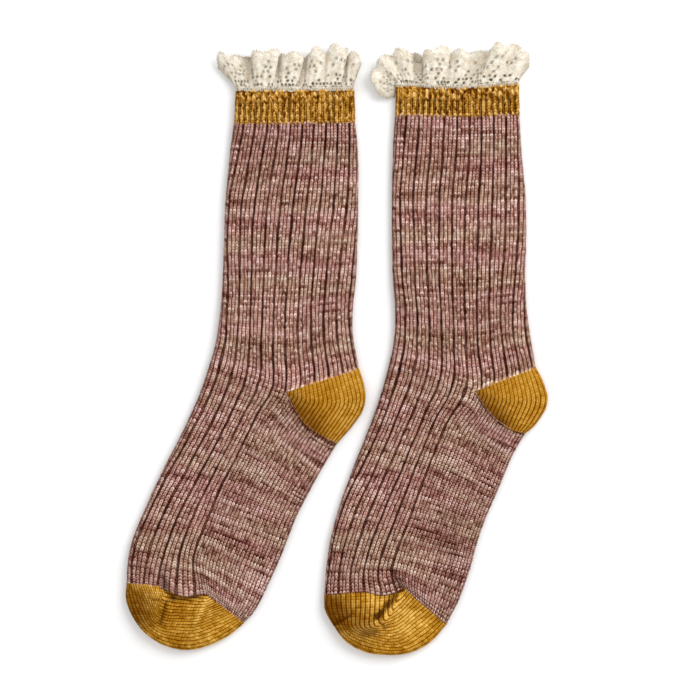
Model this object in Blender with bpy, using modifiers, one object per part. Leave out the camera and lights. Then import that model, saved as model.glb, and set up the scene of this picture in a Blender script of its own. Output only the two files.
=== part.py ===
"""A pair of knitted crew socks with gathered lace tops, laid flat on their sides.

Units are metres with +Z up. The socks lie on z = 0 with their legs along +Y and their toes
towards -Y, and the pair is centred on the origin. Each sock is a flattened tube with the shin
and instep towards -X and the calf and sole towards +X. Its tables give each course of
stitches across the tube in millimetres, measured from the inner point of its own heel.
"""

import math
from typing import NamedTuple

import bmesh
import bpy

MM = 0.001

# The knitted tube
WALES = 84                 # columns of stitches round the tube
QUARTER = WALES / 4        # wales from an edge of the flat tube to the line between its halves
CLOTH = 2.2                # thickness of the knitted wall
EDGE_RADIUS = 3.3          # roundness of the folded edges, seen along the tube
SEAM_GAP = 0.3             # clearance between pieces at a seam

# Ribs of the leg and instep: three raised wales and one sunken wale
RIB_WALES = 4
FIRST_GROOVE = 3.4         # wales from the front edge
GROOVE_HALF = 0.75         # wales from the bottom of a groove to its shoulder
GROOVE_DEPTH = 0.9
UPPER_GROOVES = 10         # grooves that show on the upper side
# Ribs of the cuff: one raised wale and one sunken wale
CUFF_RIB_WALES = 2
CUFF_GROOVE_DEPTH = 0.8

# Lace frill
LACE_THICKNESS = 1.0
LACE_GAP = 0.6             # from the cuff's upper end to the lace, along the tube
LACE_RISE = 5.0            # how far the lace climbs straight out of the cuff
LACE_EARLY_LEAN = 0.1      # share of its sideways lean that it has by then
UNDER_WAVES = 6            # waves of the frill's lower layer, which lies on the floor
UNDER_LOW = 0.6            # lowest and highest line of that layer above the floor
UNDER_HIGH = 2.7

# Colours of the yarns, linear red, green and blue
MARL_COLOR = (0.30, 0.16, 0.12)
CUFF_COLOR = (0.36, 0.17, 0.03)
HEEL_COLOR = (0.42, 0.19, 0.02)
TOE_COLOR = (0.46, 0.22, 0.03)
LACE_COLOR = (0.74, 0.66, 0.52)

# How finely the faces follow the forms
SMOOTH_STEPS = 2           # rows made for each row of a table
FOLD_STEPS = 3             # columns made for each fold line of a frill
LACE_ROWS = (0.0, 0.25, 0.6, 1.0)
HEEL_UPPER_COLUMNS = 6
TOE_UPPER_COLUMNS = 12
EDGE_COLUMNS = [0.0, 1.25, 21.0, 41.2, 42.0]                    # wales
UNDER_COLUMNS = [43.25, 44.5, 52.5, 63.0, 73.5, 81.5, 82.75]
RIB_INNER_COLUMNS = [2.65, 11.4, 31.4, 40.15]
CUFF_INNER_COLUMNS = [0.0, 1.0, 3.0, 11.0, 21.0, 31.0, 39.0, 41.0, 42.0]
POCKET_EDGE = [0.1, 0.05, 0.0]                                  # shares of a half section
POCKET_UNDER = [0.05, 0.1, 0.5, 1.0]
WELD = 0.01
LAYER_GAP = 0.6            # least space between the toe's layers under a fold
SHARP_ANGLE = 40           # degrees


class Course(NamedTuple):
    """One course across the flat tube, with places in mm from the heel's inner point."""

    front: tuple           # where the course turns round the shin or instep edge
    middle: tuple          # on the line between the front half and the back half
    back: tuple            # where the course turns round the calf or sole edge
    height: float          # of both layers together
    rib: float             # how deep the grooves are: 0 for none, 1 for full depth


class Edge(NamedTuple):
    """One course of a heel or toe pocket: where it turns round the edge."""

    turn: tuple
    height: float


class Fold(NamedTuple):
    """A soft trough, or a ridge where the depth is negative, in a toe's upper layer."""

    start: tuple
    end: tuple
    half_width: float
    depth: float


class Gather(NamedTuple):
    """One fold line of the frill's upper layer, from the cuff to the lace's free edge."""

    share: float           # across the cuff from its front edge, 0, to its back edge, 1
    sideways: float        # of the free edge from the cuff
    up: float
    lift: float            # of the free edge above the floor


class Sock(NamedTuple):
    """All sizes of one sock."""

    name: str
    heel_point: tuple      # place of the heel's inner point in the pair
    cuff: tuple
    leg: tuple
    foot: tuple
    heel: tuple
    toe: tuple
    toe_folds: tuple
    frill: tuple


LEFT = Sock(
    name="left",
    heel_point=(-33.55, -28.5),
    cuff=(
        #      front         middle       back           height rib
        Course((-33.0, 199.0), (6.0, 199.0), (45.0, 199.5), 6.6, 0.0),
        Course((-33.5, 196.5), (6.0, 196.5), (45.0, 197.0), 6.8, 0.1),
        Course((-33.5, 195.0), (6.0, 195.0), (45.0, 195.5), 6.8, 1.0),
        Course((-34.0, 177.0), (5.5, 177.0), (45.5, 178.0), 6.8, 1.0),
    ),
    leg=(
        Course((-34.5, 176.7), (5.5, 176.7), (45.5, 177.7), 6.6, 1.0),
        Course((-37.0, 152.5), (5.5, 153.0), (47.5, 153.0), 6.6, 1.0),
        Course((-39.5, 126.0), (4.0, 126.5), (47.5, 126.5), 6.6, 1.0),
        Course((-40.5, 99.5), (3.0, 100.5), (47.0, 101.0), 6.6, 1.0),
        Course((-41.5, 73.5), (2.0, 74.0), (46.0, 75.0), 6.7, 1.0),
        Course((-43.0, 53.5), (0.5, 52.0), (44.0, 57.0), 6.8, 1.0),
        Course((-45.5, 34.5), (0.0, 28.5), (44.0, 37.5), 7.0, 1.0),
        Course((-50.0, 18.0), (0.0, 0.0), (48.0, 15.0), 7.2, 1.0),
    ),
    foot=(
        Course((-50.0, 18.0), (0.0, 0.0), (34.0, -33.0), 7.2, 1.0),
        Course((-57.5, -3.5), (-13.0, -18.0), (25.0, -48.0), 7.0, 1.0),
        Course((-68.0, -26.5), (-25.5, -39.5), (15.0, -66.0), 6.8, 1.0),
        Course((-80.0, -50.0), (-41.0, -63.5), (6.5, -83.0), 6.6, 1.0),
        Course((-91.0, -73.5), (-52.0, -85.0), (-2.0, -104.5), 6.6, 1.0),
        Course((-100.5, -96.5), (-57.5, -104.5), (-12.0, -127.5), 6.8, 1.0),
        Course((-104.0, -113.0), (-56.0, -119.5), (-20.0, -143.0), 7.0, 0.7),
        Course((-104.5, -126.0), (-52.0, -133.5), (-28.0, -152.0), 7.4, 0.3),
    ),
    heel=(
        Edge((48.0, 15.0), 7.2),
        Edge((50.5, 7.5), 7.6),
        Edge((52.0, 0.0), 8.0),
        Edge((52.0, -6.0), 8.2),
        Edge((50.0, -13.0), 8.2),
        Edge((44.5, -21.0), 8.0),
        Edge((39.5, -27.0), 7.6),
        Edge((34.0, -33.0), 7.2),
    ),
    toe=(
        Edge((-28.0, -152.0), 7.4),
        Edge((-38.5, -160.5), 7.8),
        Edge((-52.0, -167.0), 8.2),
        Edge((-66.0, -169.5), 8.4),
        Edge((-80.0, -166.5), 8.4),
        Edge((-92.5, -158.5), 8.2),
        Edge((-101.0, -147.0), 7.9),
        Edge((-105.0, -136.0), 7.6),
        Edge((-104.5, -126.0), 7.4),
    ),
    toe_folds=(
        Fold((-78.0, -128.0), (-57.0, -134.0), 3.0, 2.2),
        Fold((-83.0, -136.0), (-80.0, -156.0), 3.0, 1.2),
        Fold((-76.0, -138.0), (-60.0, -138.0), 4.0, -1.0),
    ),
    frill=(
        Gather(0.00, -13.0, 16.5, 3.5),
        Gather(0.11, -11.0, 23.5, 10.3),
        Gather(0.23, -8.0, 24.0, 4.6),
        Gather(0.31, -5.0, 26.0, 11.3),
        Gather(0.40, -3.0, 23.5, 4.5),
        Gather(0.49, -1.0, 25.5, 10.8),
        Gather(0.59, 1.0, 23.0, 4.6),
        Gather(0.72, 3.0, 28.0, 11.5),
        Gather(0.86, 5.0, 27.0, 4.8),
        Gather(0.93, 6.0, 22.5, 9.7),
        Gather(1.00, 6.5, 20.0, 3.5),
    ),
)

RIGHT = Sock(
    name="right",
    heel_point=(91.05, -27.8),
    cuff=(
        Course((-52.0, 201.0), (-11.5, 199.5), (29.0, 202.5), 6.6, 0.0),
        Course((-52.0, 198.5), (-11.5, 197.0), (29.0, 200.0), 6.8, 0.1),
        Course((-52.0, 197.0), (-11.5, 195.5), (29.0, 198.5), 6.8, 1.0),
        Course((-52.5, 181.5), (-11.5, 181.0), (29.0, 182.0), 6.8, 1.0),
    ),
    leg=(
        Course((-52.5, 181.2), (-11.5, 180.7), (29.0, 181.7), 6.6, 1.0),
        Course((-54.0, 155.0), (-11.5, 155.5), (30.5, 156.5), 6.6, 1.0),
        Course((-54.5, 128.5), (-11.0, 129.0), (33.0, 130.0), 6.6, 1.0),
        Course((-54.5, 102.5), (-10.5, 102.5), (33.5, 103.5), 6.6, 1.0),
        Course((-54.0, 76.0), (-10.0, 76.0), (33.0, 78.0), 6.7, 1.0),
        Course((-52.5, 55.0), (-9.0, 52.0), (33.5, 57.5), 6.8, 1.0),
        Course((-53.0, 35.0), (-6.5, 27.5), (36.0, 37.0), 7.0, 1.0),
        Course((-56.5, 17.0), (0.0, 0.0), (40.0, 15.0), 7.2, 1.0),
    ),
    foot=(
        Course((-56.5, 17.0), (0.0, 0.0), (33.0, -27.5), 7.2, 1.0),
        Course((-63.0, -6.0), (-11.5, -22.0), (24.0, -43.5), 7.0, 1.0),
        Course((-72.0, -30.5), (-23.5, -43.5), (15.5, -64.0), 6.8, 1.0),
        Course((-80.5, -52.0), (-33.5, -62.5), (8.0, -81.0), 6.6, 1.0),
        Course((-89.0, -76.0), (-42.0, -84.5), (1.5, -99.0), 6.6, 1.0),
        Course((-95.0, -98.5), (-49.0, -104.5), (-3.0, -116.0), 6.8, 1.0),
        Course((-98.0, -119.0), (-51.5, -119.5), (-11.0, -138.0), 7.0, 0.8),
        Course((-99.0, -134.5), (-46.5, -130.0), (-19.5, -154.0), 7.4, 0.4),
    ),
    heel=(
        Edge((40.0, 15.0), 7.2),
        Edge((43.5, 8.5), 7.6),
        Edge((46.0, 2.0), 8.0),
        Edge((47.5, -4.0), 8.2),
        Edge((46.5, -11.0), 8.2),
        Edge((42.5, -18.0), 8.0),
        Edge((38.5, -23.0), 7.6),
        Edge((33.0, -27.5), 7.2),
    ),
    toe=(
        Edge((-19.5, -154.0), 7.4),
        Edge((-29.5, -165.0), 7.8),
        Edge((-43.0, -172.0), 8.2),
        Edge((-58.0, -173.5), 8.4),
        Edge((-72.5, -171.5), 8.4),
        Edge((-85.0, -164.5), 8.2),
        Edge((-93.5, -153.5), 7.9),
        Edge((-98.5, -144.0), 7.6),
        Edge((-99.0, -134.5), 7.4),
    ),
    toe_folds=(
        Fold((-48.0, -134.0), (-61.0, -150.0), 3.0, 2.4),
        Fold((-64.0, -151.0), (-73.0, -153.0), 3.5, 1.6),
        Fold((-52.0, -155.0), (-74.0, -162.0), 2.5, -0.8),
    ),
    frill=(
        Gather(0.00, -16.5, -4.0, 3.5),
        Gather(0.05, -15.0, 10.0, 9.2),
        Gather(0.12, -9.0, 18.0, 4.6),
        Gather(0.18, -4.0, 24.0, 11.0),
        Gather(0.27, -3.0, 20.0, 4.4),
        Gather(0.36, -2.0, 25.0, 11.5),
        Gather(0.46, -1.0, 24.0, 4.8),
        Gather(0.58, 1.0, 24.5, 10.8),
        Gather(0.69, 5.0, 24.5, 4.6),
        Gather(0.78, 6.0, 27.0, 11.3),
        Gather(0.88, 7.0, 26.0, 4.8),
        Gather(0.95, 8.0, 25.0, 9.9),
        Gather(1.00, 8.5, 18.0, 3.5),
    ),
)


# ------------------------------------------------------------------ curves and sections

def spline(before, start, end, after, t):
    """A number on the smooth curve from start to end, for t from 0 to 1."""
    slope_in = (end - before) / 2
    slope_out = (after - start) / 2
    return ((2 * t ** 3 - 3 * t ** 2 + 1) * start + (t ** 3 - 2 * t ** 2 + t) * slope_in
            + (3 * t ** 2 - 2 * t ** 3) * end + (t ** 3 - t ** 2) * slope_out)


def blend_rows(rows, index, t):
    """The table row that lies t of the way from one row to the next, on a smooth curve."""
    last = len(rows) - 1
    near = [rows[min(max(index + step, 0), last)] for step in (-1, 0, 1, 2)]

    def mix(values):
        if isinstance(values[0], tuple):
            return tuple(mix(items) for items in zip(*values))
        return spline(*values, t)

    return type(rows[0])(*(mix(values) for values in zip(*near)))


def smooth_rows(rows):
    """The table with rows worked out between its own rows."""
    filled = []
    for index in range(len(rows) - 1):
        filled += [blend_rows(rows, index, step / SMOOTH_STEPS) for step in range(SMOOTH_STEPS)]
    return filled + [rows[-1]]


def toward(start, end, distance):
    """The point at a distance from start in the direction of end."""
    length = math.dist(start, end)
    return tuple(a + (b - a) / length * distance for a, b in zip(start, end))


def half_section(edge, middle, height, share, inset, upper):
    """A point of a flat tube's half, from its folded edge, share 0, to its middle, share 1.

    inset is how far the point lies inside the outer face. upper chooses the layer.
    """
    quarter_turn = EDGE_RADIUS * math.pi / 2
    run = math.dist(edge, middle)
    arc = share * (run - EDGE_RADIUS + quarter_turn)
    turn = min(arc / EDGE_RADIUS, math.pi / 2)
    across = EDGE_RADIUS - (EDGE_RADIUS - inset) * math.cos(turn) + max(arc - quarter_turn, 0)
    x, y = toward(edge, middle, across)
    rise = (height / 2 - inset) * math.sin(turn)
    return x, y, height / 2 + (rise if upper else -rise)


def tube_point(course, wale, inset):
    """A point of a whole course: wale 0 is the front edge, and wale 42 the back edge."""
    upper = wale <= WALES / 2
    from_front = wale if upper else WALES - wale
    edge, share = course.front, from_front / QUARTER
    if share > 1:
        edge, share = course.back, 2 - share
    return half_section(edge, course.middle, course.height, share, inset, upper)


def placed(sock, point):
    """A point of the sock's own frame in the pair's frame, in metres."""
    x, y, z = point
    return (x + sock.heel_point[0]) * MM, (y + sock.heel_point[1]) * MM, z * MM


# ------------------------------------------------------------------ meshes

class Wall:
    """A cloth wall: an outer face, a plainer inner face, and the rims that join them.

    columns are the places round the cloth at which its rows have points, as wales or shares,
    and inner_columns those of them that the inner face has too.
    """

    def __init__(self, columns, inner_columns, closed):
        self.columns = columns
        self.kept = [columns.index(column) for column in inner_columns]
        self.closed = closed
        self.bm = bmesh.new()

    def spans(self, indices):
        """Neighbouring pairs of columns, round the tube where it is closed."""
        pairs = list(zip(indices, indices[1:]))
        if self.closed:
            pairs.append((indices[-1], indices[0]))
        return pairs

    def add_strip(self, outer_rows, inner_rows, inner_step=1):
        """One stretch of cloth. Its inner face has every row that inner_step reaches."""
        outer = [[self.bm.verts.new(point) for point in row] for row in outer_rows]
        inner = [{k: self.bm.verts.new(row[k]) for k in self.kept}
                 for row in inner_rows[::inner_step]]
        for near, far in zip(outer, outer[1:]):
            for a, b in self.spans(list(range(len(self.columns)))):
                self.bm.faces.new((near[a], near[b], far[b], far[a]))
        for near, far in zip(inner, inner[1:]):
            for a, b in self.spans(self.kept):
                self.bm.faces.new((near[a], far[a], far[b], near[b]))
        return outer, inner

    def add_rim(self, strip, row, first=None, last=None):
        """Closes a strip's end, row 0 or -1, over all its columns or from first to last."""
        outer, inner = (faces[row] for faces in strip)
        for a, b in self.spans(self.kept):
            wraps = b < a
            if first is not None and (wraps or self.columns[a] < first or self.columns[b] > last):
                continue
            along = [*range(a, len(self.columns)), b] if wraps else range(a, b + 1)
            self.bm.faces.new([outer[k] for k in along] + [inner[b], inner[a]])

    def finish(self, name, material, collection):
        """Welds points that meet, turns the faces outward and makes the object."""
        bmesh.ops.remove_doubles(self.bm, verts=self.bm.verts, dist=WELD * MM)
        bmesh.ops.triangulate(self.bm, faces=self.bm.faces)
        bmesh.ops.recalc_face_normals(self.bm, faces=self.bm.faces)
        return add_object(name, self.bm, material, collection)


def add_object(name, bm, material, collection):
    """Turns a finished mesh into a named object of the collection."""
    mesh = bpy.data.meshes.new(name)
    bm.to_mesh(mesh)
    bm.free()
    mesh.materials.append(material)
    mesh.shade_smooth()
    mesh.set_sharp_from_angle(angle=math.radians(SHARP_ANGLE))
    piece = bpy.data.objects.new(name, mesh)
    collection.objects.link(piece)
    return piece


# ------------------------------------------------------------------ leg, foot and cuff

def rib_columns():
    """The wales at which a ribbed tube has points: each groove with its two shoulders."""
    grooves = [FIRST_GROOVE + RIB_WALES * rib for rib in range(UPPER_GROOVES)]
    around = [round(groove + side, 2) for groove in grooves
              for side in (-GROOVE_HALF, 0.0, GROOVE_HALF)]
    return sorted(EDGE_COLUMNS + around) + UNDER_COLUMNS


def rib_depth(wale):
    """How far the outer face sinks at a wale of the leg's ribs."""
    from_groove = abs((wale - FIRST_GROOVE + RIB_WALES / 2) % RIB_WALES - RIB_WALES / 2)
    return GROOVE_DEPTH * max(0.0, 1 - from_groove / GROOVE_HALF)


def cuff_depth(wale):
    """How far the outer face sinks at a wale of the cuff's ribs."""
    return CUFF_GROOVE_DEPTH if wale % CUFF_RIB_WALES == 1 else 0.0


def tube_rows(sock, courses, columns, depth, last_rib_wale=WALES / 2):
    """Outer and inner points of a stretch of tube, with grooves up to last_rib_wale."""
    outer, inner = [], []
    for course in courses:
        sunk = [depth(wale) * course.rib if wale <= last_rib_wale else 0.0 for wale in columns]
        outer.append([placed(sock, tube_point(course, w, s)) for w, s in zip(columns, sunk)])
        inner.append([placed(sock, tube_point(course, w, CLOTH)) for w in columns])
    return outer, inner


def build_leg_foot(sock, material, collection):
    """The tube of the leg and the foot, open at the heel, where only its front half runs on."""
    columns = rib_columns()
    wall = Wall(columns, sorted(EDGE_COLUMNS + RIB_INNER_COLUMNS) + UNDER_COLUMNS, closed=True)
    leg_rows = tube_rows(sock, smooth_rows(sock.leg), columns, rib_depth)
    foot_rows = tube_rows(sock, smooth_rows(sock.foot), columns, rib_depth, QUARTER)
    leg = wall.add_strip(*leg_rows, SMOOTH_STEPS)
    foot = wall.add_strip(*foot_rows, SMOOTH_STEPS)
    wall.add_rim(leg, 0)
    wall.add_rim(leg, -1, QUARTER, WALES - QUARTER)
    wall.add_rim(foot, 0, QUARTER, WALES - QUARTER)
    wall.add_rim(foot, -1)
    return wall.finish(f"{sock.name}_leg_foot", material, collection)


def build_cuff(sock, material, collection):
    """The cuff: fine ribs below a plain band at its upper end."""
    columns = [float(wale) for wale in range(WALES // 2 + 1)] + UNDER_COLUMNS
    wall = Wall(columns, CUFF_INNER_COLUMNS + UNDER_COLUMNS, closed=True)
    cuff = wall.add_strip(*tube_rows(sock, sock.cuff, columns, cuff_depth))
    wall.add_rim(cuff, 0)
    wall.add_rim(cuff, -1)
    return wall.finish(f"{sock.name}_cuff", material, collection)


# ------------------------------------------------------------------ heel and toe

def side_step(corner, end, other):
    """The step that moves the line from corner to end towards other by the seam gap."""
    length = math.dist(corner, end)
    side = ((corner[1] - end[1]) / length, (end[0] - corner[0]) / length)
    facing = sum(s * (b - a) for s, a, b in zip(side, corner, other))
    return tuple(s * math.copysign(SEAM_GAP, facing) for s in side)


def inset_wedge(corner, first, last):
    """The corner and both ends of a wedge, moved in so that its edges keep the seam gap."""
    steps = side_step(corner, first, last), side_step(corner, last, first)
    bisector = [a + b for a, b in zip(*steps)]
    size = SEAM_GAP ** 2 / sum(a * b for a, b in zip(steps[0], bisector))
    corner = tuple(p + b * size for p, b in zip(corner, bisector))
    first, last = (tuple(p + s for p, s in zip(end, step))
                   for end, step in zip((first, last), steps))
    return corner, first, last


def fold_drop(folds, x, y):
    """How far the folds lower a toe's upper layer at a place."""
    drop = 0.0
    for fold in folds:
        run = math.dist(fold.start, fold.end)
        along = ((x - fold.start[0]) * (fold.end[0] - fold.start[0])
                 + (y - fold.start[1]) * (fold.end[1] - fold.start[1])) / run
        nearest = toward(fold.start, fold.end, min(max(along, 0.0), run))
        drop += fold.depth * math.exp(-(math.dist(nearest, (x, y)) / fold.half_width) ** 2)
    return drop


def pocket_point(edge, seam_height, corner, share, upper, inset, folds):
    """A point of a heel or toe, which is fullest at its edge and meets the foot's height."""
    height = edge.height + (seam_height - edge.height) * share ** 2
    x, y, z = half_section(edge.turn, corner, height, share, inset, upper)
    deepest = height - 2 * CLOTH - LAYER_GAP
    rise = max(z - height / 2, 0.0) / (height / 2 - inset)
    return x, y, z - rise * min(fold_drop(folds, x, y), deepest)


def build_pocket(sock, part, corner, edges, folds, material, collection):
    """A heel or toe: courses that fan out round a corner, each one a U round the edge."""
    corner, first, last = inset_wedge(corner, edges[0].turn, edges[-1].turn)
    edges = (edges[0]._replace(turn=first), *edges[1:-1], edges[-1]._replace(turn=last))
    upper_count = HEEL_UPPER_COLUMNS if part == "heel" else TOE_UPPER_COLUMNS
    upper = [1 - (1 - POCKET_EDGE[0]) * step / upper_count for step in range(upper_count + 1)]
    places = [(share, True) for share in upper + POCKET_EDGE[1:]]
    places += [(share, False) for share in POCKET_UNDER]
    columns = list(range(len(places)))
    wall = Wall(columns, columns, closed=False)
    faces = []
    for inset in (0.0, CLOTH):
        faces.append([
            [placed(sock, pocket_point(edge, edges[0].height, corner, *place, inset, folds))
             for place in places]
            for edge in smooth_rows(edges)
        ])
    strip = wall.add_strip(*faces)
    wall.add_rim(strip, 0)
    wall.add_rim(strip, -1)
    return wall.finish(f"{sock.name}_{part}", material, collection)


# ------------------------------------------------------------------ lace frill

def upper_gathers(frill):
    """The frill's upper layer, with lines worked out between its fold lines."""
    gathers = []
    for index, (near, far) in enumerate(zip(frill, frill[1:])):
        for step in range(FOLD_STEPS):
            t = step / FOLD_STEPS
            ease = (1 - math.cos(math.pi * t)) / 2
            lift = near.lift + (far.lift - near.lift) * ease
            gathers.append(blend_rows(frill, index, t)._replace(lift=lift))
    return gathers


def under_gathers(frill):
    """The frill's lower layer, from the back edge to the front: low, even waves."""
    count = 2 * FOLD_STEPS * UNDER_WAVES
    gathers = []
    for step in range(count):
        share = 1 - step / count
        after = next(index for index, gather in enumerate(frill) if gather.share >= share)
        near, far = frill[after - 1], frill[after]
        t = (share - near.share) / (far.share - near.share)
        wave = (1 + math.cos(2 * math.pi * UNDER_WAVES * share)) / 2
        low = UNDER_LOW + (UNDER_HIGH - UNDER_LOW) * wave
        from_side = min(1.0, min(step, count - step) / FOLD_STEPS)
        gathers.append(Gather(
            share,
            near.sideways + (far.sideways - near.sideways) * t,
            near.up + (far.up - near.up) * t,
            frill[0].lift + (low - frill[0].lift) * from_side,
        ))
    return gathers


def frill_line(sock, gather, wale):
    """Points of a fold line, which leaves the cuff straight and then leans outward."""
    x, y, z = tube_point(sock.cuff[0], wale, CLOTH / 2)
    start = (x, y + LACE_GAP, z)
    bend = (x + LACE_EARLY_LEAN * gather.sideways, start[1] + LACE_RISE, z)
    end = (x + gather.sideways, start[1] + gather.up, gather.lift)
    return [
        placed(sock, [(1 - t) ** 2 * a + 2 * t * (1 - t) * b + t ** 2 * c
                      for a, b, c in zip(start, bend, end)])
        for t in LACE_ROWS
    ]


def build_frill(sock, material, collection):
    """The gathered lace round the mouth: an open ring of cloth, given its thickness."""
    half = WALES / 2
    lines = [frill_line(sock, g, g.share * half) for g in upper_gathers(sock.frill)]
    lines += [frill_line(sock, g, WALES - g.share * half) for g in under_gathers(sock.frill)]
    bm = bmesh.new()
    grid = [[bm.verts.new(point) for point in line] for line in lines]
    for index, line in enumerate(grid):
        before = grid[index - 1]
        for row in range(len(line) - 1):
            bm.faces.new((before[row], line[row], line[row + 1], before[row + 1]))
    bmesh.ops.recalc_face_normals(bm, faces=bm.faces)
    frill = add_object(f"{sock.name}_frill", bm, material, collection)
    thickness = frill.modifiers.new("Thickness", "SOLIDIFY")
    thickness.thickness = LACE_THICKNESS * MM
    thickness.offset = 0.0
    return frill


# ------------------------------------------------------------------ materials and assembly

def make_material(name, color, roughness):
    """A plain non-metallic material in the colour of its yarn."""
    material = bpy.data.materials.new(name)
    material.use_nodes = True
    shader = material.node_tree.nodes["Principled BSDF"]
    shader.inputs["Base Color"].default_value = (*color, 1.0)
    shader.inputs["Roughness"].default_value = roughness
    shader.inputs["Metallic"].default_value = 0.0
    return material


def build_sock(sock, collection):
    """All pieces of one sock, parented to one empty."""
    lace = make_material(f"{sock.name}_cotton_lace", LACE_COLOR, 0.85)
    cuff_yarn = make_material(f"{sock.name}_cuff_mustard", CUFF_COLOR, 0.9)
    marl = make_material(f"{sock.name}_marl_wool", MARL_COLOR, 0.9)
    heel_yarn = make_material(f"{sock.name}_heel_mustard", HEEL_COLOR, 0.9)
    toe_yarn = make_material(f"{sock.name}_toe_mustard", TOE_COLOR, 0.9)
    heel_corner, toe_corner = sock.foot[0].middle, sock.foot[-1].middle
    pieces = [
        build_frill(sock, lace, collection),
        build_cuff(sock, cuff_yarn, collection),
        build_leg_foot(sock, marl, collection),
        build_pocket(sock, "heel", heel_corner, sock.heel, (), heel_yarn, collection),
        build_pocket(sock, "toe", toe_corner, sock.toe, sock.toe_folds, toe_yarn, collection),
    ]
    holder = bpy.data.objects.new(f"{sock.name}_sock", None)
    collection.objects.link(holder)
    for piece in pieces:
        piece.parent = holder


def main():
    """Clears the scene and builds the pair."""
    for old in list(bpy.data.objects):
        bpy.data.objects.remove(old)
    collection = bpy.data.collections.new("knitted_socks")
    bpy.context.scene.collection.children.link(collection)
    for sock in (LEFT, RIGHT):
        build_sock(sock, collection)


main()
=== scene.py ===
"""The looks of a pair of knitted socks with gathered lace tops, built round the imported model.

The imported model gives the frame. Each sock is dressed in the same tables of courses that shape its
solids, in millimetres from the inner point of its own heel, at the size of single stitches: a mesh
row for each part of a course and a mesh column for each arm of a stitch.
"""

from __future__ import annotations

import logging
import math
from dataclasses import dataclass, field, replace
from enum import Enum
from typing import NamedTuple, Sequence

import bpy
import numpy as np
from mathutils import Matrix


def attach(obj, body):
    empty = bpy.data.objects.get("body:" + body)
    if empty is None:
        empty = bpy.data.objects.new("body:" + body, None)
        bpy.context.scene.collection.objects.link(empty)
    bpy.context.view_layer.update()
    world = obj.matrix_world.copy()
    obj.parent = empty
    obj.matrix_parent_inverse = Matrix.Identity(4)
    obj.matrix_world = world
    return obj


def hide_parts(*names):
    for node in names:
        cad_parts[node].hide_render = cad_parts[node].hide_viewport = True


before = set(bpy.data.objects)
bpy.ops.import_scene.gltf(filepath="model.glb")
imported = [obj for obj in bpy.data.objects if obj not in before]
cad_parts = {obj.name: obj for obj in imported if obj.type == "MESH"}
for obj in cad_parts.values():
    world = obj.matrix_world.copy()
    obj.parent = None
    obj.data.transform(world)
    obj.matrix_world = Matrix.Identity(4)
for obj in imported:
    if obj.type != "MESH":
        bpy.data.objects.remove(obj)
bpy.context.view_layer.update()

LOG = logging.getLogger("socks")
MM = 0.001
BODY = "root"
UV_NAME = "Knit"          # x counts wales and y counts courses
PAINTED_LIGHT = "relief"         # painted light of the yarn's colour: 0 for painted shade in a hollow, 1 for painted highlight on a stitch
PAINTED_SHADE = "painted_shade"         # painted shade, from 0 to 1: in grooves, between wales, in folds, along edges, under the marl, on the lining and round eyelets
PLAIN = "plain"           # 1 where the marl is knitted plain, 0 in its ribs

Vec2 = tuple[float, float]
Vec3 = tuple[float, float, float]
Rgb = tuple[int, int, int]            # as it looks on a screen, 0 to 255
Array = np.ndarray
Socket = bpy.types.NodeSocket
Material = bpy.types.Material
Piece = bpy.types.Object


# -------- tables of sizes

class Course(NamedTuple):
    """One course across the flat tube, with places in mm from the heel's inner point."""

    front: Vec2            # where the course turns round the shin or instep edge
    middle: Vec2           # on the line between the front half and the back half
    back: Vec2             # where the course turns round the calf or sole edge
    height: float          # of both layers together
    rib: float             # how deep the grooves are: 0 for none, 1 for full depth
    slide: Vec3 = (0.0, 0.0, 0.0)   # of the first, middle and last groove, in wales


class Edge(NamedTuple):
    """One course of a heel or toe pocket: where it turns round the edge."""

    turn: Vec2
    height: float


class Ray(NamedTuple):
    """One line across a pocket, at which its wales may bend."""

    at: float                                 # where it leaves the outline, in rows of the table
    places: tuple[Vec2, Vec2, Vec2]           # at one third, at two thirds and at its inner end


class Lip(NamedTuple):
    """Where the marl bulges over the toe's seam."""

    wale: float
    half_width: float      # in wales
    reach: float           # in courses
    lift: float            # in mm
    fold_side: int         # -1 for a deep fold on its front side, 1 on its back side


class Fold(NamedTuple):
    """A soft trough, or a ridge where the depth is negative, in a pocket's upper layer, with the shade or
    light painted along it.
    """

    start: Vec2
    end: Vec2
    half_width: float
    depth: float
    shade: float = 0.0     # how much darker it is painted, from 0 to 1, or below 0 how much lighter


class Gather(NamedTuple):
    """One fold line of a frill's upper layer, from the cuff to the lace's free edge."""

    share: float           # across the cuff from its front edge, 0, to its back edge, 1
    sideways: float        # of the free edge from the cuff
    up: float
    lift: float            # of the free edge above the floor


class Side(Enum):
    """Which sock of the pair."""

    LEFT = "left"
    RIGHT = "right"


class Part(Enum):
    """A pocket at an end of the foot."""

    HEEL = "heel"
    TOE = "toe"


@dataclass(frozen=True)
class SockSizes:
    """All sizes of one sock."""

    side: Side
    heel_point: Vec2
    cuff: tuple[Course, ...]
    leg: tuple[Course, ...]
    foot: tuple[Course, ...]
    heel: tuple[Edge, ...]
    toe: tuple[Edge, ...]
    heel_rays: tuple[Ray, ...]
    toe_rays: tuple[Ray, ...]
    instep_ribs: int
    sole_wales: int
    heel_wales: int
    toe_wales: int
    toe_lip: Lip
    heel_folds: tuple[Fold, ...]
    toe_folds: tuple[Fold, ...]
    # shades: soft patches where the leg and foot are made darker or lighter
    shades: tuple[Fold, ...]
    frill: tuple[Gather, ...]
    seed: int


def table(kind: type, *rows: tuple) -> tuple:
    """A table's rows, each as a named tuple of its kind."""
    return tuple(kind(*row) for row in rows)


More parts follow.
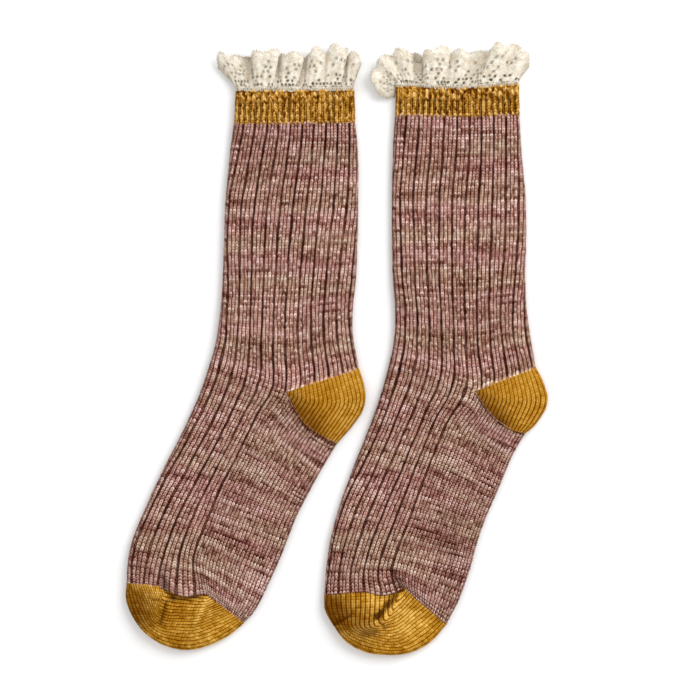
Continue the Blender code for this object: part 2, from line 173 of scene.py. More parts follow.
LEFT = SockSizes(
    side=Side.LEFT,
    heel_point=(-33.55, -28.5),
    cuff=table(
        Course,
        # front        middle       back           height rib
        ((-33, 199), (6, 199), (45, 199.5), 6.6, 0),
        ((-33.5, 196.5), (6, 196.5), (45, 197), 6.8, 0.1),
        ((-33.5, 195), (6, 195), (45, 195.5), 6.8, 1),
        ((-34, 177), (5.5, 177), (45.5, 178), 6.8, 1),
    ),
    leg=table(
        Course,
        ((-34.5, 176.7), (5.5, 176.7), (45.5, 177.7), 6.6, 1, (0.9, 0.3, -0.3)),
        ((-37, 152.5), (5.5, 153), (47.5, 153), 6.6, 1, (-0.3, -0.8, -1.25)),
        ((-39.5, 126), (4, 126.5), (47.5, 126.5), 6.6, 1, (-1.45, -1.85, -1.5)),
        ((-40.5, 99.5), (3, 100.5), (47, 101), 6.6, 1, (-1.7, -2.55, -2.65)),
        ((-41.5, 73.5), (2, 74), (46, 75), 6.7, 1, (-0.95, -2.85, -3.5)),
        ((-43, 53.5), (0.5, 52), (44, 57), 6.8, 1, (-0.5, -2.8, -3.3)),
        ((-45.5, 34.5), (0, 28.5), (44, 37.5), 7, 1, (-0.1, -2.6, -2.9)),
        ((-50, 18), (0, 0), (48, 15), 7.2, 1, (-0.2, -2.5, -2.5)),
    ),
    foot=table(
        Course,
        ((-50, 18), (0, 0), (34, -33), 7.2, 1, (-0.2, -1.2, -2.1)),
        ((-57.5, -3.5), (-13, -18), (25, -48), 7, 1, (0, -0.1, -1.4)),
        ((-68, -26.5), (-25.5, -39.5), (15, -66), 6.8, 1, (-0.2, 0.1, -0.8)),
        ((-80, -50), (-41, -63.5), (6.5, -83), 6.6, 1, (-0.5, 0.7, 0.2)),
        ((-91, -73.5), (-52, -85), (-2, -104.5), 6.6, 1, (-0.9, 0.4, 1)),
        ((-100.5, -96.5), (-57.5, -104.5), (-12, -127.5), 6.8, 1, (-1.3, -0.1, 0.4)),
        ((-104, -113), (-56, -119.5), (-20, -143), 7, 0.7, (-1.5, -1.7, -0.3)),
        ((-104.5, -126), (-52, -133.5), (-28, -152), 7.4, 0.3, (-1.6, -3, -1.4)),
    ),
    heel=table(
        Edge,
        ((48, 15), 7.2), ((50.5, 7.5), 7.6), ((52, 0), 8), ((52, -6), 8.2),
        ((50, -13), 8.2), ((44.5, -21), 8), ((39.5, -27), 7.6), ((34, -33), 7.2),
    ),
    toe=table(
        Edge,
        ((-28, -152), 7.4), ((-38.5, -160.5), 7.8), ((-52, -167), 8.2), ((-66, -169.5), 8.4),
        ((-80, -166.5), 8.4), ((-92.5, -158.5), 8.2), ((-101, -147), 7.9), ((-105, -136), 7.6),
        ((-104.5, -126), 7.4),
    ),
    heel_rays=table(
        Ray,
        (0, ((32, 10), (16, 5), (0, 0))),
        (2.8, ((36.3, -7.6), (17.8, -6.2), (0, -0.3))),
        (7, ((22.4, -28), (9.8, -17.8), (0, -0.6))),
    ),
    toe_rays=table(
        Ray,
        (0, ((-35.6, -145.8), (-43.2, -139.6), (-51.2, -133.6))),
        (3, ((-60.7, -156.4), (-56.4, -145.2), (-52.1, -134))),
        (5, ((-85.8, -153.8), (-82.5, -144), (-78.6, -129.8))),
        (8, ((-95.7, -126.9), (-87.1, -127.4), (-79.2, -128.2))),
    ),
    instep_ribs=5,
    sole_wales=24,
    heel_wales=20,
    toe_wales=18,
    toe_lip=Lip(15, 5.3, 1.7, 2.4, -1),
    heel_folds=table(
        Fold,
        ((1, -4), (18, -22), 8, 0.3, 0.64),
        ((18, -23), (33, -31), 2.6, 0.2, 0.16),
    ),
    toe_folds=table(
        Fold,
        ((-79.5, -129), (-74.5, -135), 2, 2, 0.55),
        ((-74.5, -135.8), (-58, -134.6), 2.1, 1.7, 0.6),
        ((-87.8, -136.6), (-76.5, -137.6), 0.7, 0.8, 0.4),
        ((-78.8, -138), (-82.6, -152.6), 1.5, 1.3, 0.1),
        ((-78.8, -138), (-82.6, -152.6), 0.6, 0.5, 0.5),
        ((-75.5, -143), (-79.5, -157), 2.8, -1.3, -0.1),
        ((-52, -136.5), (-59.6, -151), 1.8, -1.1, -0.3),
        ((-91, -127.5), (-83.5, -132), 4.5, -0.5, -0.2),
        ((-103, -129), (-97, -149), 8, 0, 0.5),
        ((-92, -136), (-90, -150), 8, 0, 0.33),
        ((-76, -160), (-56, -160), 6, 0, 0.17),
    ),
    shades=table(
        Fold,
        ((-20, 164), (38, 164), 14, 0, 0.09),
        ((20, 160), (32, 160), 9, 0, 0.12),
        ((-8, 70), (2, 26), 12, 0, -0.11),
        ((-6, -6), (14, -30), 6, 0, 0.12),
        ((-50, -116), (-44, -130), 8, 0, -0.15),
        ((-100, -112), (-86, -120), 7, 0, 0.12),
    ),
    frill=table(
        Gather,
        (0.004, -12.9, 16, 3.5), (0.042, -11.9, 24.6, 8.6), (0.093, -7.3, 22.6, 8), (0.135, -3.3, 22, 3.4),
        (0.169, -1.7, 23.3, 4.4), (0.194, -2, 24.6, 10), (0.245, 0.7, 26.3, 12), (0.295, 3.3, 25.6, 11.6),
        (0.320, 4, 24, 9), (0.337, -1.3, 21.3, 5), (0.363, 0.7, 22, 3), (0.396, 1.3, 24.6, 8),
        (0.447, 2.6, 24.3, 11), (0.489, 5.3, 22.6, 9.5), (0.514, 4.6, 21.3, 5.5), (0.531, 1, 20, 3.4),
        (0.565, 2.6, 22, 3.6), (0.599, 2, 25.6, 9), (0.641, 2, 27.6, 12), (0.691, 2.6, 24.6, 9.6),
        (0.725, 2.6, 25.9, 6.5), (0.767, 2.6, 28.2, 10.6), (0.809, 4, 28.9, 12.4), (0.843, 5.3, 27.3, 10.8),
        (0.864, 4.6, 24.6, 7.2), (0.877, 0, 22.6, 4.2), (0.902, 1, 23.3, 3.2), (0.927, 2.6, 24.3, 6.8),
        (0.961, 4.6, 22, 8), (0.999, 5.6, 18, 3.5),
    ),
    seed=3,
)

RIGHT = SockSizes(
    side=Side.RIGHT,
    heel_point=(91.05, -27.8),
    cuff=table(
        Course,
        ((-52, 201), (-11.5, 199.5), (29, 202.5), 6.6, 0),
        ((-52, 198.5), (-11.5, 197), (29, 200), 6.8, 0.1),
        ((-52, 197), (-11.5, 195.5), (29, 198.5), 6.8, 1),
        ((-52.5, 181.5), (-11.5, 181), (29, 182), 6.8, 1),
    ),
    leg=table(
        Course,
        ((-52.5, 181.2), (-11.5, 180.7), (29, 181.7), 6.6, 1, (1.1, 1.5, 1.1)),
        ((-54, 155), (-11.5, 155.5), (30.5, 156.5), 6.6, 1, (0.7, 1.2, 0.5)),
        ((-54.5, 128.5), (-11, 129), (33, 130), 6.6, 1, (-0.2, -0.2, -0.2)),
        ((-54.5, 102.5), (-10.5, 102.5), (33.5, 103.5), 6.6, 1, (0.1, -0.8, -0.5)),
        ((-54, 76), (-10, 76), (33, 78), 6.7, 1, (0.25, -1.1, -1.4)),
        ((-52.5, 55), (-9, 52), (33.5, 57.5), 6.8, 1, (0.4, -1.3, -2.7)),
        ((-53, 35), (-6.5, 27.5), (36, 37), 7, 1, (0.3, -2.1, -3.5)),
        ((-56.5, 17), (0, 0), (40, 15), 7.2, 1, (-0.2, -4.7, -3.2)),
    ),
    foot=table(
        Course,
        ((-56.5, 17), (0, 0), (33, -27.5), 7.2, 1, (-0.2, -2.5, -4.8)),
        ((-63, -6), (-11.5, -22), (24, -43.5), 7, 1, (-0.1, -2.4, -4.9)),
        ((-72, -30.5), (-23.5, -43.5), (15.5, -64), 6.8, 1, (-0.2, -2.1, -4)),
        ((-80.5, -52), (-33.5, -62.5), (8, -81), 6.6, 1, (-0.7, -1.8, -3.1)),
        ((-89, -76), (-42, -84.5), (1.5, -99), 6.6, 1, (-1.8, -2.4, -2.9)),
        ((-95, -98.5), (-49, -104.5), (-3, -116), 6.8, 1, (-1.9, -3, -3.4)),
        ((-98, -119), (-51.5, -119.5), (-11, -138), 7, 0.8, (-2.2, -3.9, -3.9)),
        ((-99, -134.5), (-46.5, -130), (-19.5, -154), 7.4, 0.4, (-2.4, -4.5, -4.7)),
    ),
    heel=table(
        Edge,
        ((40, 15), 7.2), ((43.5, 8.5), 7.6), ((46, 2), 8), ((47.5, -4), 8.2),
        ((46.5, -11), 8.2), ((42.5, -18), 8), ((38.5, -23), 7.6), ((33, -27.5), 7.2),
    ),
    toe=table(
        Edge,
        ((-19.5, -154), 7.4), ((-29.5, -165), 7.8), ((-43, -172), 8.2), ((-58, -173.5), 8.4),
        ((-72.5, -171.5), 8.4), ((-85, -164.5), 8.2), ((-93.5, -153.5), 7.9), ((-98.5, -144), 7.6),
        ((-99, -134.5), 7.4),
    ),
    heel_rays=table(
        Ray,
        (0, ((26.7, 10), (13.3, 5), (0, 0))),
        (2.8, ((30.5, -6.6), (15.3, -4.6), (0.1, -0.4))),
        (7, ((22.6, -24.6), (10.2, -16.6), (0, -0.6))),
    ),
    toe_rays=table(
        Ray,
        (0, ((-28.6, -146), (-37.7, -138), (-46.5, -130.2))),
        (2.4, ((-52, -164.4), (-50.7, -150.5), (-46.7, -131.4))),
        (4.6, ((-81, -157.8), (-65.2, -155.1), (-50.6, -132))),
        (8, ((-81.7, -133.7), (-63.9, -133), (-47.4, -130.7))),
    ),
    instep_ribs=6,
    sole_wales=22,
    heel_wales=18,
    toe_wales=17,
    toe_lip=Lip(16, 5, 1.6, 1.8, 1),
    heel_folds=table(
        Fold,
        ((0, -4), (16, -20), 8, 0.3, 0.74),
        ((14, -19), (32, -26.5), 2.6, 0.2, 0.16),
    ),
    toe_folds=table(
        Fold,
        ((-50, -131.5), (-57.3, -140.6), 1.9, 3.2, 0.82),
        ((-57.3, -140.6), (-64, -148), 1.8, 2.8, 0.78),
        ((-62.6, -147), (-65.2, -149), 1.8, 1.8, 0.65),
        ((-64.4, -149.6), (-59.4, -156), 0.9, 1, 0.5),
        ((-65.6, -152), (-61.2, -158), 1.1, -1, -0.4),
        ((-50, -136), (-61, -151.5), 2.4, -1.4, -0.12),
        ((-70, -164.4), (-59.1, -163.2), 1.3, -0.5, -0.12),
        ((-59.1, -163.2), (-49.7, -154.5), 1.3, -0.8, -0.25),
        ((-73, -159.5), (-66, -160), 2.4, 0.9, 0.25),
        ((-92.6, -153.8), (-82.4, -147.9), 1, 0.7, 0.35),
        ((-92, -155.8), (-81.5, -149.8), 1.1, -0.5, -0.15),
        ((-84, -135), (-68, -136), 4, -0.4, -0.15),
        ((-98, -138), (-91, -154), 9, 0, 0.36),
        ((-90, -142), (-74, -156), 13, 0, 0.6),
        ((-50, -137), (-36, -152), 9, 0, -0.35),
    ),
    shades=table(
        Fold,
        ((-40, 162), (20, 162), 14, 0, 0.07),
        ((6, 158), (14, 158), 9, 0, 0.1),
        ((-38, -14), (2, -18), 9, 0, 0.14),
        ((-17, -92), (-13, -118), 9, 0, 0.2),
        ((-20, -126), (-14, -146), 8, 0, 0.2),
        ((-90, -118), (-60, -120), 8, 0, 0.1),
        ((-46, -114), (-36, -116), 7, 0, -0.13),
        ((-8, -58), (-26, -116), 15, 0, 0.07),
        ((-50, 55), (10, 55), 25, 0, 0.05),
    ),
    frill=table(
        Gather,
        (0.000, -2.5, -5.5, 3), (0.010, -9.5, -5, 5.5), (0.020, -15.2, -0.8, 7), (0.033, -17.3, 6.6, 8.6),
        (0.049, -16.5, 13.6, 6.2), (0.073, -13.9, 18.3, 10.2), (0.098, -9.9, 21.7, 7),
        (0.122, -7.3, 24.1, 11.8), (0.147, -2.6, 23.5, 10.5), (0.163, -1.3, 21.9, 6.4),
        (0.179, -4.6, 18, 3.6), (0.204, -1.3, 17.4, 3), (0.228, 0, 18.8, 3.8), (0.252, -0.7, 22.8, 9),
        (0.285, 0.7, 25.2, 12.2), (0.342, 2.6, 26.1, 11.8), (0.383, 4.3, 24.9, 8.6), (0.407, 3.6, 23.9, 5),
        (0.440, 3, 24.4, 7.8), (0.480, 4, 24.5, 11.2), (0.521, 4.6, 24.1, 8.6), (0.562, 5.3, 23.2, 5),
        (0.611, 7.3, 23.9, 4.2), (0.635, 10.6, 26, 5.2), (0.668, 10.2, 27.5, 10), (0.717, 9.9, 26.9, 12.4),
        (0.774, 9.9, 26.9, 10.8), (0.831, 8.6, 25.8, 6.8), (0.888, 7.9, 24.2, 10), (0.936, 7.9, 22.2, 9.6),
        (0.977, 7.3, 18, 6.4), (1.000, 7.4, 11.9, 3.5),
    ),
    seed=11,
)


# -------- curves

def catmull_rom(rows: Array, t: Array) -> Array:
    """Values on the smooth curve through evenly numbered rows.

    Args:
        rows: The values that the curve passes through, a row for each.
        t: Places on the curve, where 0 is the first row.

    Returns:
        The values at each place, a row for each. Places past an end run straight on.
    """
    last = len(rows) - 1
    padded = np.vstack([2 * rows[0] - rows[1], rows, 2 * rows[-1] - rows[-2]])
    index = np.clip(np.floor(t).astype(int), 0, last - 1)
    f = (t - index)[..., None]
    inside = np.clip(f, 0.0, 1.0)
    a, b, c, d = (padded[index + step] for step in range(4))
    value = 0.5 * (2 * b + (c - a) * inside + (2 * a - 5 * b + 4 * c - d) * inside ** 2
                   + (3 * b - a - 3 * c + d) * inside ** 3)
    slope = np.where(f > 1.0, 0.5 * (d - b), 0.5 * (c - a))
    return value + slope * (f - inside)


def lengths(line: Array) -> Array:
    """How far each row of points lies along the lines through them."""
    steps = np.linalg.norm(np.diff(line, axis=0), axis=-1)
    return np.concatenate([np.zeros((1, *steps.shape[1:])), np.cumsum(steps, axis=0)])


def waves(x: Array, y: Array, size: float, seed: int) -> Array:
    """Smooth, even unrest between about -1 and 1, for soft dents in cloth.

    Args:
        x, y: Places in mm.
        size: About how far apart the dents lie, in mm.
        seed: Chooses one pattern.

    Returns:
        The unrest at each place.
    """
    rng = np.random.default_rng(seed)
    total = np.zeros(np.broadcast(x, y).shape)
    turn, terms = 2 * math.pi, 7
    for _ in range(terms):
        angle, phase, stretch = rng.uniform(0, turn), rng.uniform(0, turn), rng.uniform(0.6, 1.6)
        total += np.sin((x * math.cos(angle) + y * math.sin(angle)) * stretch * turn / size + phase)
    return total / math.sqrt(terms * 2)


def smooth_step(low: float, high: float, x: Array) -> Array:
    """Rises smoothly from 0 at low to 1 at high."""
    t = np.clip((x - low) / (high - low), 0.0, 1.0)
    return t * t * (3 - 2 * t)


def fold_sum(folds: Sequence[Fold], x: Array, y: Array, shade: bool = False) -> Array:
    """What all folds together do at each place.

    Args:
        folds: The folds.
        x, y: Places in mm from the heel's inner point.
        shade: Whether their shade is asked for, or else their depth.

    Returns:
        How much darker the places are painted, or how far they lie lower, in mm.
    """
    total = np.zeros(x.shape)
    for fold in folds:
        start, end = np.array(fold.start), np.array(fold.end)
        along = end - start
        t = np.clip(((x - start[0]) * along[0] + (y - start[1]) * along[1]) / (along @ along), 0, 1)
        off = np.hypot(x - start[0] - along[0] * t, y - start[1] - along[1] * t)
        total += (fold.shade if shade else fold.depth) * np.exp(-(off / fold.half_width) ** 2)
    return total


# -------- the knit's own measures

@dataclass(frozen=True)
class Gauge:
    """The measures of the knitted cloth, in mm, wales and courses."""

    wales: int = 84                # round the tube
    quarter: int = 21              # wales from an edge of the flat tube to its middle line
    cloth: float = 2.2
    edge_radius: float = 3.3
    course_pitch: float = 1.9
    rib_wales: int = 4
    first_groove: float = 3.4      # wales from the front edge
    ribs: int = 21
    stitches: int = 84             # round the tube
    groove_half: float = 0.21      # wales from the bottom of a groove to the first knit wale
    groove_depth: float = 1.3
    under_depth: float = 0.35      # of the grooves on the side that rests flat
    arm_height: float = 0.5        # how far the two arms of a stitch stand out
    crease_depth: float = 0.34     # of the line between one course and the next
    arm_climb: float = 0.75        # courses that the arms of a stitch climb
    end_climb: float = 0.35        # the same in the first and last course of a piece
    rows_a_course: int = 3
    tuck_depth: float = 0.7        # how far a hidden end lies under the piece that covers it
    ray_rounding: float = 0.65     # rows of a pocket's table over which its wales turn a corner
    heel_bay: float = 3.25         # courses by which the foot makes room for the round end of the heel
    bend_share: float = 0.45       # of a half's width, over which courses bend at the middle line
    bend_ends: float = 16.0        # courses over which that bend fades at a tube's ends
    crown: float = 0.35            # how much the upper layer swells
    dents: tuple[Vec2, ...] = ((0.42, 46.0), (0.16, 15.0))   # how deep and how far apart they are
    pocket_dents: Vec2 = (0.35, 24.0)


GAUGE = Gauge()
BACK_EDGE = 2.0 * GAUGE.quarter     # the wale that runs down the calf and the sole's edge
UNDER_MIDDLE = 3.0 * GAUGE.quarter  # the wale on the middle line of the side that rests flat


class Column(NamedTuple):
    """One column of points along the cloth."""

    wale: float            # round the tube
    knit: float            # the same counted in stitches: whole numbers lie between two wales
    climb: float           # 0 at the point of each stitch, 1 at the ends of its arms
    arm: float             # how much of the arm's height this column has
    groove: float          # how much of a groove's depth this column has


GAP = -0.3                 # between two wales, as a share of the arms' height
POINT = 0.45               # between the two arms of a stitch
BESIDE = 0.45              # how deep a knit wale's edge lies beside a groove, as a share of the groove


def stitch_columns(start: float, width: float, knit: float, fine: bool) -> list[Column]:
    """The columns of one knit wale, without its far edge.

    Args:
        start: Where the wale begins, in wales round the tube.
        width: How wide the wale is, in wales.
        knit: The wale's number.
        fine: Whether each arm of its stitches gets a column.

    Returns:
        The columns from the near edge on.
    """
    if not fine:
        return [Column(start, knit, 1.0, GAP, 0.0),
                Column(start + width / 2, knit + 0.5, 0.0, 0.9, 0.0)]
    return [
        Column(start, knit, 1.0, GAP, 0.0),
        Column(start + width * 0.29, knit + 0.29, 0.42, 1.0, 0.0),
        Column(start + width * 0.5, knit + 0.5, 0.0, POINT, 0.0),
        Column(start + width * 0.71, knit + 0.71, 0.42, 1.0, 0.0),
    ]


def rib_columns(rib: int, fine: bool) -> list[Column]:
    """The columns of one groove and of the three knit wales after it.

    Args:
        rib: The rib's number, from the front edge.
        fine: Whether each arm of its stitches gets a column.

    Returns:
        The columns from the groove on.
    """
    groove = GAUGE.first_groove + GAUGE.rib_wales * rib
    knit_wales = GAUGE.rib_wales - 1
    width = (GAUGE.rib_wales - 2 * GAUGE.groove_half) / knit_wales
    count = float(GAUGE.rib_wales * rib)
    columns = [Column(groove, count + 0.5, 1.0, 0.0, 1.0)]
    for wale in range(knit_wales):
        start = groove + GAUGE.groove_half + width * wale
        columns += stitch_columns(start, width, count + 1 + wale, fine)
    columns[1] = columns[1]._replace(groove=BESIDE)
    end = groove + GAUGE.rib_wales - GAUGE.groove_half
    return [*columns, Column(end, count + GAUGE.rib_wales, 1.0, GAP, BESIDE)]


def plain_columns(start: float, end: float, count: int, knit: float, fine: bool) -> list[Column]:
    """The columns of a number of knit wales without grooves, without the far edge."""
    width = (end - start) / count
    columns = []
    for wale in range(count):
        columns += stitch_columns(start + width * wale, width, knit + wale, fine)
    return columns


def spread(columns: Sequence[Column], row: Array) -> list[Array]:
    """The columns' numbers, each as a grid over the rows."""
    return [np.array(values, dtype=float)[None, :] + 0 * row for values in zip(*columns)]


# -------- smooth forms

def turned(run: Array, height: Array, share: Array, inset: float,
           gauge: Gauge = GAUGE) -> tuple[Array, Array]:
    """The section of a flat tube's half: a round turn at its folded edge, then flat.

    Args:
        run: From the folded edge to the far end of the half, in mm.
        height: Of both layers together.
        share: How far each point lies from the edge, from 0 to 1.
        inset: How far each point lies inside the outer face.

    Returns:
        How far each point lies from the edge, and how far off the middle plane, in mm.
    """
    quarter_turn = gauge.edge_radius * math.pi / 2
    arc = share * (run - gauge.edge_radius + quarter_turn)
    turn = np.minimum(arc / gauge.edge_radius, math.pi / 2)
    across = (gauge.edge_radius - (gauge.edge_radius - inset) * np.cos(turn)
              + np.maximum(arc - quarter_turn, 0.0))
    return across, (height / 2 - inset) * np.sin(turn)


class TubeForm:
    """The smooth form of one stretch of tube, before its stitches are raised."""

    def __init__(self, table: Sequence[Course], before: Course | None, after: Course | None,
                 seed: int, gauge: Gauge = GAUGE, knots: Sequence[float] = (3.4, 23.4, 43.4)) -> None:
        """Reads the table.

        Args:
            table: The stretch's own courses.
            before, after: The courses that its front half runs on to, where it does.
            seed: Chooses the soft dents of its upper side.
            gauge: The knit's measures.
            knots: The wales whose slide the table gives, and after them those that stay in place.
        """
        rows = np.array([[*c.front, *c.middle, *c.back, c.height, c.rib, *c.slide] for c in table])
        first, last = 2 * rows[0] - rows[1], 2 * rows[-1] - rows[-2]
        for row, course in ((first, before), (last, after)):
            if course is not None:
                row[:4] = [*course.front, *course.middle]
            row[6:] = rows[0][6:] if row is first else rows[-1][6:]
        self.rows = np.vstack([first, rows, last])
        self.gauge, self.seed, self.knots = gauge, seed, knots
        steps = np.linspace(0, len(self.rows) - 1, 40 * len(self.rows))
        length = lengths(catmull_rom(self.rows, steps)[:, 2:4])
        self.steps = steps
        self.length = length - np.interp(1.0, steps, length)
        total = np.interp(len(self.rows) - 2.0, steps, self.length)
        self.courses = round(total / gauge.course_pitch)
        self.pitch = total / self.courses

    def values(self, course: Array) -> Array:
        """The table's values at places along the tube, counted in courses."""
        return catmull_rom(self.rows, np.interp(course * self.pitch, self.length, self.steps))

    def slid(self, wale: Array, course: Array) -> Array:
        """Where wales lie once the ribs lean as they do in the lying sock."""
        slide = self.values(course)[..., 8:]
        shares = [np.interp(wale, self.knots, weight, period=self.gauge.wales)
                  for weight in np.eye(len(self.knots))[:3]]
        return wale + sum(slide[..., k] * share for k, share in enumerate(shares))

    def points(self, wale: Array, course: Array, inset: float = 0.0) -> Array:
        """Points of the form, without its stitches.

        Args:
            wale, course: Their places round and along the tube.
            inset: How far inside the outer face they lie, in mm.

        Returns:
            The points, in mm.
        """
        g = self.gauge
        value = self.values(course)
        around = np.mod(wale, g.wales)
        upper = around <= g.wales / 2
        share = np.where(upper, around, g.wales - around) / g.quarter
        is_front = share <= 1
        edge = np.where(is_front[..., None], value[..., 0:2], value[..., 4:6])
        from_edge = np.where(is_front, share, 2 - share)
        along = value[..., 2:4] - edge
        run = np.linalg.norm(along, axis=-1)
        across, rise = turned(run, value[..., 6], from_edge, inset, g)
        place = edge + along * (across / run)[..., None]
        bend = value[..., 0:2] + value[..., 4:6] - 2 * value[..., 2:4]
        room = np.clip(np.minimum(course, self.courses - course) / g.bend_ends, 0.0, 1.0)
        soft = g.bend_share * smooth_step(0, 1, room) + 1e-6
        rounding = np.maximum(soft - (1 - from_edge), 0.0) ** 2 / (4 * soft)
        place = place + bend * rounding[..., None]
        crown = g.crown * np.sin(np.pi * np.clip(share / 2, 0, 1)) ** 0.7
        dents = sum(depth * waves(place[..., 0], place[..., 1], size, self.seed + number)
                    for number, (depth, size) in enumerate(g.dents))
        lying = smooth_step(0.0, 0.25, from_edge) * (crown + dents)
        z = value[..., 6] / 2 + np.where(upper, rise + lying, -rise)
        return np.concatenate([place, z[..., None]], axis=-1)


class PocketForm:
    """The smooth form of a heel or toe, whose wales run round a corner."""

    def __init__(self, edges: Sequence[Edge], rays: Sequence[Ray], folds: Sequence[Fold],
                 seed: int, gauge: Gauge = GAUGE) -> None:
        """Reads the tables.

        Args:
            edges: The pocket's outline.
            rays: The lines at which its wales may bend.
            folds: The troughs and ridges of its upper layer.
            seed: Chooses its soft dents.
            gauge: The knit's measures.
        """
        self.rows = np.array([[*e.turn, e.height] for e in edges])
        self.stops = [ray.at for ray in rays]
        self.places = np.array([ray.places for ray in rays])
        self.folds, self.seed, self.gauge = folds, seed, gauge
        self.last = len(edges) - 1

    def places_at(self, at: Array) -> list[Array]:
        """The rays' three places at rows of the outline's table, with each corner rounded."""
        samples = 7
        reach = np.minimum(self.gauge.ray_rounding, np.minimum(at, self.last - at))
        near = [at + reach * step for step in np.linspace(-1, 1, samples)]
        return [np.stack([sum(np.interp(a, self.stops, self.places[:, k, axis]) for a in near) / len(near)
                          for axis in (0, 1)], -1) for k in range(3)]

    def points(self, wale: Array, at: Array, inset: float = 0.0) -> Array:
        """Points of the form, without its stitches.

        Args:
            wale, at: Their places round the tube, and along the outline in rows of its table.
            inset: How far inside the outer face they lie, in mm.

        Returns:
            The points, in mm.
        """
        g = self.gauge
        value = catmull_rom(self.rows, at)
        third, two_thirds, inner = self.places_at(at)
        edge = value[..., :2]
        upper = wale <= g.wales / 2
        from_edge = np.abs(wale - g.wales / 2) / g.quarter
        height = value[..., 2] + (self.rows[0, 2] - value[..., 2]) * np.minimum(from_edge, 1) ** 2
        run = np.linalg.norm(inner - edge, axis=-1)
        across, rise = turned(run, height, from_edge, inset, g)
        e = (across / run)[..., None]
        place = ((1 - 3 * e) * (2 - 3 * e) * (1 - e) / 2 * edge + 4.5 * e * (2 - 3 * e) * (1 - e) * third
                 + 4.5 * e * (3 * e - 1) * (1 - e) * two_thirds + e * (3 * e - 1) * (3 * e - 2) / 2 * inner)
        x, y = place[..., 0], place[..., 1]
        depth, size = g.pocket_dents
        soft = depth * waves(x, y, size, self.seed) + g.crown * np.sin(np.pi * np.minimum(from_edge, 1))
        lying = smooth_step(0.0, 0.2, from_edge) * (soft - fold_sum(self.folds, x, y))
        deepest = height - 2 * g.cloth - 0.4
        z = height / 2 + np.where(upper, rise + np.maximum(lying, -deepest), -rise)
        return np.concatenate([place, z[..., None]], axis=-1)


# -------- geometry nodes

class NodeWriter:
    """Short ways to add nodes to a tree."""

    tree: bpy.types.NodeTree

    def node(self, kind: str, **settings: object) -> bpy.types.Node:
        """Adds a node and sets its own settings."""
        node = self.tree.nodes.new(kind)
        for key, value in settings.items():
            setattr(node, key, value)
        return node

    def put(self, value: object, target: Socket) -> None:
        """Links a socket, or sets a number, colour or name."""
        if isinstance(value, Socket):
            self.tree.links.new(value, target)
        else:
            target.default_value = value

    def join(self, kind: str, inputs: dict[str, object], **settings: object) -> Socket:
        """Adds a node with its named inputs linked or set, and gives its first output."""
        node = self.node(kind, **settings)
        for name, value in inputs.items():
            self.put(value, node.inputs[name])
        return node.outputs[0]

    def math(self, operation: str, *values: object) -> Socket:
        """One step of arithmetic on sockets or numbers."""
        return self.step("ShaderNodeMath", operation, *values)

    def vector_math(self, operation: str, *values: object) -> Socket:
        """One step of arithmetic on vectors."""
        return self.step("ShaderNodeVectorMath", operation, *values)

    def step(self, kind: str, operation: str, *values: object) -> Socket:
        """One step of arithmetic, on a node of the given kind."""
        node = self.node(kind, operation=operation)
        for value, target in zip(values, [socket for socket in node.inputs if socket.enabled]):
            self.put(value, target)
        return node.outputs[0]


class GeometryTree(NodeWriter):
    """A geometry node tree that is built once and used by several pieces."""

    def __init__(self, name: str) -> None:
        """Makes an empty tree that takes geometry and gives it."""
        self.tree = bpy.data.node_groups.new(name, "GeometryNodeTree")
        self.tree.interface.new_socket("Geometry", in_out="INPUT", socket_type="NodeSocketGeometry")
        self.tree.interface.new_socket("Geometry", in_out="OUTPUT", socket_type="NodeSocketGeometry")
        self.sockets: dict[str, str] = {}

    def size(self, name: str, kind: str, value: object = None) -> None:
        """Adds a named input."""
        socket = self.tree.interface.new_socket(name, in_out="INPUT", socket_type=kind)
        if value is not None:
            socket.default_value = value
        self.sockets[name] = socket.identifier

    def attribute(self, name: str) -> Socket:
        """A number kept on each point."""
        return self.join("GeometryNodeInputNamedAttribute", {"Name": name}, data_type="FLOAT")

    def end(self, geometry: Socket, material: Socket) -> None:
        """Ends the tree with real geometry that has its material."""
        real = self.join("GeometryNodeRealizeInstances", {"Geometry": geometry})
        dressed = self.join("GeometryNodeSetMaterial", {"Geometry": real, "Material": material})
        self.put(dressed, self.node("NodeGroupOutput").inputs[0])

    def apply(self, piece: Piece, **sizes: object) -> None:
        """Runs the tree on a piece and keeps the result as its mesh.

        Args:
            piece: The mesh object.
            sizes: Values for the tree's named inputs, with _ for a space.
        """
        modifier = piece.modifiers.new(self.tree.name, "NODES")
        modifier.node_group = self.tree
        for name, value in sizes.items():
            modifier[self.sockets[name.replace("_", " ")]] = value
        keep_result(piece)


class ReliefTree(GeometryTree):
    """Raises the arms of the stitches and sinks creases, grooves and hidden ends."""

    def __init__(self) -> None:
        """Builds the tree."""
        super().__init__("Knit relief")
        source = self.node("NodeGroupInput")
        height: object = 0.0
        for name, level, sign in (("Arm height", "arm", "ADD"), ("Crease depth", "crease", "SUBTRACT"),
                                  ("Groove depth", "groove", "SUBTRACT"), ("Tuck depth", "tuck", "SUBTRACT")):
            self.size(name, "NodeSocketFloat", 0.5)
            part = self.math("MULTIPLY", self.attribute(level), source.outputs[name])
            height = self.math(sign, height, part)
        self.size("Yarn", "NodeSocketMaterial")
        normal = self.node("GeometryNodeInputNormal").outputs[0]
        offset = self.vector_math("SCALE", normal, self.math("MULTIPLY", height, MM))
        moved = self.join("GeometryNodeSetPosition",
                          {"Geometry": source.outputs["Geometry"], "Offset": offset})
        self.end(moved, source.outputs["Yarn"])


